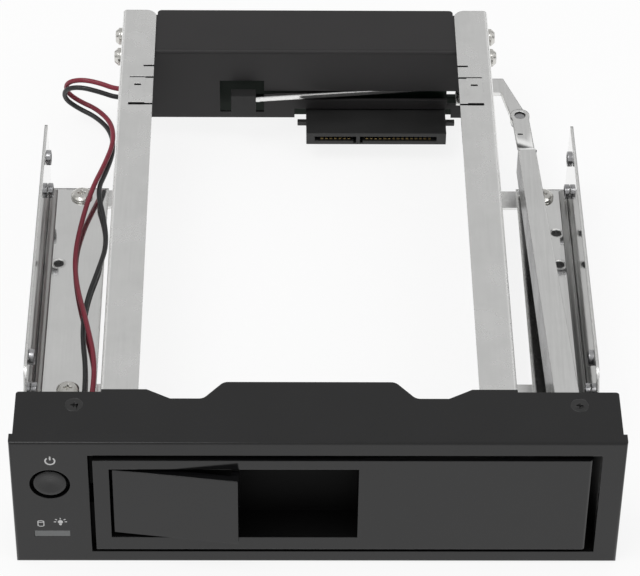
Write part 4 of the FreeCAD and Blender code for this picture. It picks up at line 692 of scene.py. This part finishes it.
def round_piece(radius, depth, place, axis, vertices=ROUND_SIDES):
    """Short round bar about a place along an axis; the start of a piece or a cutter."""
    bpy.ops.object.select_all(action="DESELECT")
    turn = Vector(axis).to_track_quat("Z", "Y").to_euler()
    bpy.ops.mesh.primitive_cylinder_add(vertices=vertices, radius=radius, depth=depth,
                                        location=place, rotation=turn)
    piece = bpy.context.object
    settle()
    return piece


def bracket(side):
    """Name of the bracket on a side, and where the inner face of its wall is in X."""
    name = "bracket_right" if side > 0 else "bracket_left"
    low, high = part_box(name)
    return name, (high.x if side > 0 else low.x) - side * SHEET


def bay_collars(side):
    """Threaded collars pressed inwards round the bay screw holes of a bracket's wall; the inner
    ring in each is near-black, as painted shade in the bore.
    """
    name, wall = bracket(side)
    spots = [at(0.0, y, z) for y, z in BAY_HOLES]
    for spot in spots:
        spot.x = wall - side * COLLAR_IN
    for title, radius, bore, depth, edge, finish in COLLAR_RINGS:
        ring = round_piece(radius, depth, spots[0], (1.0, 0.0, 0.0))
        cut_away(ring, round_piece(bore, THROUGH, spots[0], (1.0, 0.0, 0.0)))
        piece = joined(copied(ring, spots), name + title)
        soften(piece, edge, 2)
        finish_piece(piece, finish, "cage")


def foot_hole_shadows(side):
    """Near-black discs in the holes of a bracket's foot: painted shadow where the floor under the
    foot would show.
    """
    name, wall = bracket(side)
    spots = [at(0.0, y, SHADOW_DISC_HEIGHT) for y in PLATE_HOLES[side]]
    for spot in spots:
        spot.x = wall - side * SHADOW_DISC_IN
    # dark disc with a dimple, standing in for the shadow seen through the hole
    shadow_piece = round_piece(SHADOW_DISC_R, SHADOW_DISC_DEPTH, spots[0], (0.0, 0.0, 1.0))
    top = spots[0] + Vector((0.0, 0.0, SHADOW_DISC_DEPTH / 2))
    cut_away(shadow_piece, round_piece(DIMPLE_R, DIMPLE_DEPTH, top, (0.0, 0.0, 1.0)))
    piece = joined(copied(shadow_piece, spots), name + "_studs")
    soften(piece, SHADOW_DISC_EDGE, 2)
    finish_piece(piece, "dark_zinc", "cage")


def bend_fillet(side):
    """Inner radius of the bend between a bracket's wall and its foot, in a darker zinc that paints
    the dark reflection along the bend.
    """
    name, wall = bracket(side)
    low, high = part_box(name)
    foot = low.z + SHEET
    start, end = low.y + BEND_STARTS, high.y - BEND_ENDS
    piece = block((BEND_R, end - start, BEND_R),
                  (wall - side * BEND_R / 2, (start + end) / 2, foot + BEND_R / 2))
    hollow = round_piece(BEND_R * BEND_SLACK, 2 * (end - start),
                         (wall - side * BEND_R, (start + end) / 2, foot + BEND_R),
                         (0.0, 1.0, 0.0), BEND_SIDES)
    cut_away(piece, hollow)
    soften(piece, 0.0)
    piece.name = name + "_bend"
    finish_piece(piece, "bend_zinc", "cage")


# node, way out of its heads ("X" is outwards on either side), reach and depth of the recess
SCREWS = (("bracket_screws", "Z", 0.0016, 0.0011), ("bezel_screws", "Z", 0.0013, 0.0009),
          ("cover_screws", "X", 0.0014, 0.0010), ("front_board_screws", "Y", 0.0010, 0.0007),
          ("backplane_screws", "Y", 0.0010, 0.0007))
SCREW_EDGE, SCREW_ANGLE = 0.00008, 50.0


def screw_row(node, axis, reach, depth):
    """Screws of a CAD node with a cross recess in each head, found from the node's solids."""
    piece = merged_copy(node)
    for top in head_tops(piece, axis):
        cross_recess(piece, top, way_out(top, axis), reach, depth)
    soften(piece, SCREW_EDGE, 2, SCREW_ANGLE)
    finish_piece(piece, SLOT_OF[node], BODY_OF[node], node)


def way_out(place, axis):
    if axis == "X":
        return Vector((1.0 if place.x > 0.0 else -1.0, 0.0, 0.0))
    return Vector((0.0, float(axis == "Y"), float(axis == "Z")))


def head_tops(piece, axis):
    """Middle of the outermost face of each loose solid, along the axis or outwards in X."""
    links = {corner.index: set() for corner in piece.data.vertices}
    for edge in piece.data.edges:
        one, other = edge.vertices
        links[one].add(other)
        links[other].add(one)
    tops = []
    while links:
        group = {next(iter(links))}
        fresh = set(group)
        while fresh:
            fresh = set().union(*(links[index] for index in fresh)) - group
            group |= fresh
        for index in group:
            del links[index]
        places = [piece.data.vertices[index].co.copy() for index in group]
        middle = sum(places, Vector()) / len(places)
        way = way_out(middle, axis)
        height = max(place.dot(way) for place in places)
        low = [min(place[k] for place in places) for k in range(3)]
        high = [max(place[k] for place in places) for k in range(3)]
        centre = Vector([(a + b) / 2 for a, b in zip(low, high)])
        tops.append(centre + way * (height - centre.dot(way)))
    return tops


class CAGE_OT_screws(bpy.types.Operator):
    """Screws with a cross recess in each head"""
    bl_idname = "cage.screws"
    bl_label = "Screws"

    def execute(self, context):
        for row in SCREWS:
            screw_row(*row)
        return {"FINISHED"}


# marks on the plate, as strokes in millimetres about each mark's middle, across and up
DRIVE_R, DRIVE_TALL, DRIVE_SQUASH = 0.72, 1.35, 0.42


def arc(radius, start, end, steps, squash=1.0):
    """Points on an arc, in degrees from straight right, anticlockwise."""
    turns = [math.radians(start + (end - start) * step / steps) for step in range(steps + 1)]
    return [(radius * math.cos(turn), radius * squash * math.sin(turn)) for turn in turns]


POWER_MARK = [arc(1.15, 128.0, 412.0, 40), [(0.0, 0.35), (0.0, 1.55)]]
DRIVE_MARK = [arc(DRIVE_R, 0.0, 360.0, 32, DRIVE_SQUASH),
              [(-DRIVE_R, 0.0), (-DRIVE_R, -DRIVE_TALL)], [(DRIVE_R, 0.0), (DRIVE_R, -DRIVE_TALL)],
              [(x, y - DRIVE_TALL) for x, y in arc(DRIVE_R, 180.0, 360.0, 16, DRIVE_SQUASH)]]
LAMP_RAYS = [[(1.02, 0.1), (1.62, 0.1)], [(-1.02, 0.1), (-1.62, 0.1)],
             [(0.82, 0.75), (1.28, 1.05)], [(-0.82, 0.75), (-1.28, 1.05)],
             [(0.0, 1.02), (0.0, 1.45)]]
LAMP_DISCS = ((0.62, (0.0, 0.1)), (0.34, (0.0, -0.75)))
# where the marks stand on the plate, and how much thicker than a mark line they are drawn
POWER_AT, DRIVE_AT, LAMP_AT = (-64.5, 35.4), (-67.7, 14.35), (-62.9, 14.15)
POWER_THICK, LAMP_THICK = 1.7, 1.3


def stroke(points, width):
    """Flat-ended line through the points, as a mesh in the plate's front plane."""
    curve = bpy.data.curves.new("stroke", "CURVE")
    curve.dimensions = "3D"
    curve.bevel_depth = width / 2
    curve.bevel_resolution = 1
    curve.use_fill_caps = True
    spline = curve.splines.new("POLY")
    spline.points.add(len(points) - 1)
    for point, (across, up) in zip(spline.points, points):
        point.co = (across * MM, 0.0, up * MM, 1.0)
    piece = bpy.data.objects.new("stroke", curve)
    bpy.context.scene.collection.objects.link(piece)
    only(piece)
    bpy.ops.object.convert(target="MESH")
    return bpy.context.object


def mark(name, middle, parts):
    """Printed mark on the plate: strokes and discs joined, flattened and laid on the front."""
    piece = joined(parts, name)
    bpy.ops.object.mode_set(mode="EDIT")
    bpy.ops.mesh.select_all(action="SELECT")
    flat = sizes().mark_thickness / (sizes().mark_line or 1.0)
    bpy.ops.transform.resize(value=(1.0, flat, 1.0), center_override=(0.0, 0.0, 0.0))
    bpy.ops.object.mode_set(mode="OBJECT")
    piece.location = at(middle[0], 0.0, middle[1])
    settle()
    finish_piece(piece, "mark_ink", "cage")


def disc(radius, place):
    """Filled round of a mark, with the thickness of its strokes."""
    bpy.ops.object.select_all(action="DESELECT")
    bpy.ops.mesh.primitive_cylinder_add(vertices=ROUND_SIDES, radius=radius * MM,
                                        depth=sizes().mark_line,
                                        location=(place[0] * MM, 0.0, place[1] * MM),
                                        rotation=(math.pi / 2, 0.0, 0.0))
    piece = bpy.context.object
    settle()
    return piece


class CAGE_OT_marks(bpy.types.Operator):
    """Power, drive and lamp marks on the plate"""
    bl_idname = "cage.marks"
    bl_label = "Marks"

    def execute(self, context):
        line = sizes().mark_line
        mark("mark_power", POWER_AT, [stroke(points, line * POWER_THICK) for points in POWER_MARK])
        mark("mark_drive", DRIVE_AT, [stroke(points, line) for points in DRIVE_MARK])
        bulb = [disc(*entry) for entry in LAMP_DISCS]
        mark("mark_lamp", LAMP_AT,
             bulb + [stroke(points, line * LAMP_THICK) for points in LAMP_RAYS])
        return {"FINISHED"}


# boards: places across and up in the drawing's millimetres, sizes in metres
FRONT_CHIPS = [(-67.6, 22.6), (-63.4, 24.6), (-63.4, 22.4), (-67.4, 12.4), (-65.4, 12.4)]
REAR_CHIPS = [(-24.6, 22.0), (-24.6, 19.4), (-20.8, 10.0), (-17.6, 10.0), (2.0, 19.6),
              (6.2, 19.6), (14.0, 17.2), (22.0, 17.2), (27.2, 19.6), (30.4, 10.6)]
RESISTOR = (0.0011, 0.0005, 0.0011)
TINNED_END = (0.00045, 0.00056, 0.00118)
END_REACH = 0.00076
RESISTOR_EDGE = 0.00006
BIG_CHIP_AT, BIG_CHIP, CHIP_EDGE, CHIP_LEGS = (-24.0, 10.4), (0.0040, 0.0010, 0.0050), 0.00012, 4
# a leg's foot and knee: its size, its middle out from the chip's side, its middle off the board
LEG_PARTS = (((0.0010, 0.0002, 0.0004), 0.00045, 0.00012),
             ((0.0002, 0.0007, 0.0004), 0.00008, 0.00040))
LEG_EDGE = 0.00003
CHIP_RISE = 0.00065
RESISTOR_RISE = 0.00025
EAR = (0.0101, 0.0064)    # width and height of the rear board's ear, and its middle up
EAR_UP = 0.0076


def on_board(spot, board, off):
    """Place on a board, from its drawing place and how far off the rear face it is."""
    place = at(spot[0], 0.0, spot[1])
    place.y = board + off
    return place


def chip_row(name, spots, board):
    """Chip resistors on a board's rear face: a dark body and two tinned ends each."""
    places = [on_board(spot, board, RESISTOR_RISE) for spot in spots]
    body = block(RESISTOR, places[0])
    reach = Vector((END_REACH, 0.0, 0.0))
    end = block(TINNED_END, places[0] - reach)
    ends = [place + shift for place in places for shift in (-reach, reach)]
    for title, part, sites, finish in (("bodies", body, places, "connector_plastic"),
                                       ("ends", end, ends, "bright_screws")):
        piece = joined(copied(part, sites), name + "_" + title)
        soften(piece, RESISTOR_EDGE, 2)
        finish_piece(piece, finish, "cage")


def big_chip(name, board):
    """Flat chip on a board's rear face with bent legs down both sides."""
    wide, tall = BIG_CHIP[0], BIG_CHIP[2]
    chip = block(BIG_CHIP, on_board(BIG_CHIP_AT, board, CHIP_RISE))
    soften(chip, CHIP_EDGE, 2)
    chip.name = name
    finish_piece(chip, "connector_plastic", "cage")
    legs = []
    for size, out, off in LEG_PARTS:
        middle = on_board(BIG_CHIP_AT, board, off)
        spots = [middle + Vector((side * (wide / 2 + out), 0.0,
                                  (step - (CHIP_LEGS - 1) / 2) * tall / CHIP_LEGS))
                 for side in (-1, 1) for step in range(CHIP_LEGS)]
        legs += copied(block(size, spots[0]), spots)
    piece = joined(legs, name + "_legs")
    soften(piece, LEG_EDGE, 1)
    finish_piece(piece, "bright_screws", "cage")


# shares of a lead housing's own size: its latch slot, and the channels in its side or rear
RIM = 0.16
SLOT_WIDE, SLOT_DEEP = 0.62, 0.40
SIDE_CHANNEL, SIDE_IN, SIDE_APART = (0.50, 0.30, 0.30), 0.08, 0.24
REAR_CHANNEL, REAR_OUT, REAR_APART = (0.34, 0.50, 0.34), 0.08, 0.25


def nylon_body(name, node, way):
    """Plug or header housing: block with softened edges, lead channels and a latch slot."""
    low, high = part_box(node)
    size, middle = high - low, (low + high) / 2
    piece = block(size, middle)
    for side in (-1, 1):
        if way == "x":
            shares = SIDE_CHANNEL
            place = (low.x - size.x * SIDE_IN, middle.y, middle.z + side * size.z * SIDE_APART)
        else:
            shares = REAR_CHANNEL
            place = (middle.x + side * size.x * REAR_APART, high.y + size.y * REAR_OUT, middle.z)
        cut_away(piece, block([part * share for part, share in zip(size, shares)], place))
    slot = (size.x * SLOT_WIDE, size.y * SLOT_DEEP, RIM * min(size.x, size.z))
    cut_away(piece, block(slot, (middle.x, middle.y, high.z)))
    soften(piece, sizes().small_edge, 2)
    piece.name = name
    finish_piece(piece, SLOT_OF[node], BODY_OF[node], node)


def board_ear():
    """Ear that carries the rear board on to the right of the drive's receptacle."""
    low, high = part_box("backplane")
    ear = block((EAR[0], high.y - low.y, EAR[1]),
                (high.x + EAR[0] / 2, (low.y + high.y) / 2, EAR_UP))
    soften(ear, sizes().small_edge, 2)
    ear.name = "backplane_ear"
    finish_piece(ear, "circuit_board", "cage")


class CAGE_OT_boards(bpy.types.Operator):
    """Chips, resistors and lead housings on both boards"""
    bl_idname = "cage.boards"
    bl_label = "Boards"

    def execute(self, context):
        chip_row("front_chips", FRONT_CHIPS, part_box("front_board")[1].y)
        chip_row("rear_chips", REAR_CHIPS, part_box("backplane")[1].y)
        board_ear()
        big_chip("rear_chip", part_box("backplane")[1].y)
        nylon_body("lead_plug_housing", "lead_plug", "y")
        nylon_body("lead_header_housing", "lead_header", "x")
        return {"FINISHED"}


# the rivet takes the darker spring steel as painted shade on its head
OTHER_FINISH = {"push_rod_rivet": "spring_steel"}


class CAGE_OT_inner_parts(bpy.types.Operator):
    """Finishes of the CAD nodes that keep their own shape"""
    bl_idname = "cage.inner_parts"
    bl_label = "Inner parts"

    def execute(self, context):
        for node, piece in frame["nodes"].items():
            if not piece.hide_render:
                piece.material_slots[0].material = finish_of(OTHER_FINISH.get(node, SLOT_OF[node]))
        return {"FINISHED"}


class CAGE_OT_stage(bpy.types.Operator):
    """Pale floor, soft studio light and the camera"""
    bl_idname = "cage.stage"
    bl_label = "Stage"

    def execute(self, context):
        make_floor()
        make_world()
        make_lights()
        make_camera()
        return {"FINISHED"}


FLOOR_SIZE = 14.0
FLOOR_GLOW = 0.85        # share of its own light in what the camera and reflections see of it
WHITE = (1.0, 1.0, 1.0, 1.0)


def seen_rays(n):
    """1 for the rays that are mirrored or let through, else 0, and the light path's node."""
    path = n.add("ShaderNodeLightPath")
    return n.math("MAXIMUM", path.outputs["Is Glossy Ray"],
                  path.outputs["Is Transmission Ray"]), path


def make_floor():
    """Pale floor that takes shadows and looks nearly evenly white."""
    bpy.ops.mesh.primitive_plane_add(size=FLOOR_SIZE, location=(0.0, 0.0, 0.0))
    floor = bpy.context.object
    floor.name = "floor"
    material = bpy.data.materials.new("pale_floor")
    material.use_nodes = True
    material.node_tree.nodes.clear()
    n = Nodes(material.node_tree)
    tint = tuple(colours().floor) + (1.0,)
    diffuse = n.add("ShaderNodeBsdfDiffuse", None, Color=tint)
    glow = n.add("ShaderNodeEmission", None, Color=WHITE, Strength=1.0)
    mirrored, path = seen_rays(n)
    seen = n.math("MAXIMUM", path.outputs["Is Camera Ray"], mirrored)
    mix = n.add("ShaderNodeMixShader")
    n.put(mix, "0", n.math("MULTIPLY", seen, FLOOR_GLOW))
    n.put(mix, "1", diffuse.outputs["BSDF"])
    n.put(mix, "2", glow.outputs["Emission"])
    n.add("ShaderNodeOutputMaterial", None, Surface=mix.outputs["Shader"])
    floor.data.materials.append(material)


SKY_LIGHT = 0.70            # what the sky gives to matt surfaces
# what it shows in reflections: rise of the direction and grey
SKY_BANDS = ((-1.0, 1.0), (-0.02, 1.0), (0.01, 0.10), (0.10, 0.12), (0.20, 0.95), (0.34, 0.90),
             (0.50, 0.54), (1.0, 0.60))


def make_world():
    """Even light; in reflections a dark band lies on the horizon, white above it, grey overhead."""
    world = bpy.data.worlds.new("studio")
    bpy.context.scene.world = world
    world.use_nodes = True
    world.node_tree.nodes.clear()
    n = Nodes(world.node_tree)
    place = n.add("ShaderNodeTexCoord").outputs["Generated"]
    rise = n.add("ShaderNodeSeparateXYZ", None, Vector=place).outputs["Z"]
    ramp = n.add("ShaderNodeValToRGB", None, Fac=n.remap(rise, -1.0, 1.0, 0.0, 1.0))
    stops = ramp.color_ramp.elements
    while len(stops) < len(SKY_BANDS):
        stops.new(0.5)
    for stop, (height, grey) in zip(stops, SKY_BANDS):
        stop.position = (height + 1.0) / 2.0
        stop.color = (grey, grey, grey, 1.0)
    mirrored, path = seen_rays(n)
    lit = n.remap(mirrored, 0.0, 1.0, SKY_LIGHT, ramp.outputs["Color"])
    strength = n.remap(path.outputs["Is Camera Ray"], 0.0, 1.0, lit, 1.0)
    back = n.add("ShaderNodeBackground", None, Color=WHITE, Strength=strength)
    n.add("ShaderNodeOutputWorld", None, Surface=back.outputs["Background"])


LAMP_AIM = (0.0, 0.0, 0.02)
# name, place, side of its square and power
LAMPS = (("key_light", (-0.45, -0.25, 1.2), 0.7, 5.0), ("fill_light", (0.75, -0.35, 0.9), 0.8, 2.0))


def make_lights():
    for name, place, side, power in LAMPS:
        bpy.ops.object.light_add(type="AREA", location=place)
        lamp = bpy.context.object
        lamp.name = name
        lamp.data.shape = "RECTANGLE"
        lamp.data.size = side
        lamp.data.size_y = side
        lamp.data.energy = power
        way = Vector(LAMP_AIM) - Vector(place)
        lamp.rotation_euler = way.to_track_quat("-Z", "Y").to_euler()


CAMERA_AIM = (0.0, 0.0, PLATE_TOP / MM)     # middle of the plate's top edge, in the drawing
CAMERA_OFFSET = (-0.3436, 37.2156, 746.817)  # the aim from the camera: right, down and ahead
CAMERA_PITCH = 42.2634      # turns in degrees
CAMERA_YAW = 1.1280
CAMERA_ROLL = -0.8788
CAMERA_LENS = 175.593
CAMERA_SENSOR = 36.0
CAMERA_CLIP = 0.01


def make_camera():
    """Camera in front of the plate and above it, with the view transform that the picture needs."""
    pitch, yaw, roll = (math.radians(turn) for turn in (CAMERA_PITCH, CAMERA_YAW, CAMERA_ROLL))
    level = Vector((math.sin(yaw), math.cos(yaw), 0.0))
    side = Vector((math.cos(yaw), -math.sin(yaw), 0.0))
    ahead = level * math.cos(pitch) - Vector((0.0, 0.0, math.sin(pitch)))
    fall = -level * math.sin(pitch) - Vector((0.0, 0.0, math.cos(pitch)))
    right = side * math.cos(roll) + fall * math.sin(roll)
    down = fall * math.cos(roll) - side * math.sin(roll)
    x, y, z = CAMERA_OFFSET
    spot = at(*CAMERA_AIM) - (right * x + down * y + ahead * z) * MM
    data = bpy.data.cameras.new("studio_camera")
    data.lens = CAMERA_LENS
    data.sensor_fit = "HORIZONTAL"
    data.sensor_width = CAMERA_SENSOR
    data.clip_start = CAMERA_CLIP
    camera = bpy.data.objects.new("studio_camera", data)
    bpy.context.scene.collection.objects.link(camera)
    turn = Matrix((right, -down, -ahead)).transposed().to_4x4()
    camera.matrix_world = Matrix.Translation(spot) @ turn
    bpy.context.scene.camera = camera
    bpy.context.scene.view_settings.view_transform = "Standard"


# ---- panel and registration ------------------------------------------------------------------
PIECES = (CAGE_OT_leads, CAGE_OT_mouldings, CAGE_OT_sheet_metal, CAGE_OT_screws, CAGE_OT_marks,
          CAGE_OT_boards, CAGE_OT_inner_parts, CAGE_OT_stage)


class CAGE_PT_panel(bpy.types.Panel):
    """Settings and pieces of the drive cage"""
    bl_idname = "CAGE_PT_panel"
    bl_label = "Drive Cage"
    bl_space_type = "VIEW_3D"
    bl_region_type = "UI"
    bl_category = "Drive Cage"

    def draw(self, context):
        for group in (context.scene.cage_sizes, context.scene.cage_colours):
            for name in group.__annotations__:
                self.layout.prop(group, name)
        for piece in PIECES:
            self.layout.operator(piece.bl_idname)


CLASSES = (CageSizes, CageColours) + PIECES + (CAGE_PT_panel,)


def register():
    for entry in CLASSES:
        bpy.utils.register_class(entry)
    bpy.types.Scene.cage_sizes = bpy.props.PointerProperty(type=CageSizes)
    bpy.types.Scene.cage_colours = bpy.props.PointerProperty(type=CageColours)


def unregister():
    del bpy.types.Scene.cage_colours
    del bpy.types.Scene.cage_sizes
    for entry in reversed(CLASSES):
        bpy.utils.unregister_class(entry)


def main():
    register()
    make_finishes()
    bpy.ops.cage.leads()
    bpy.ops.cage.mouldings()
    bpy.ops.cage.sheet_metal()
    bpy.ops.cage.screws()
    bpy.ops.cage.marks()
    bpy.ops.cage.boards()
    bpy.ops.cage.inner_parts()
    bpy.ops.cage.stage()


if __name__ == "__main__":
    main()
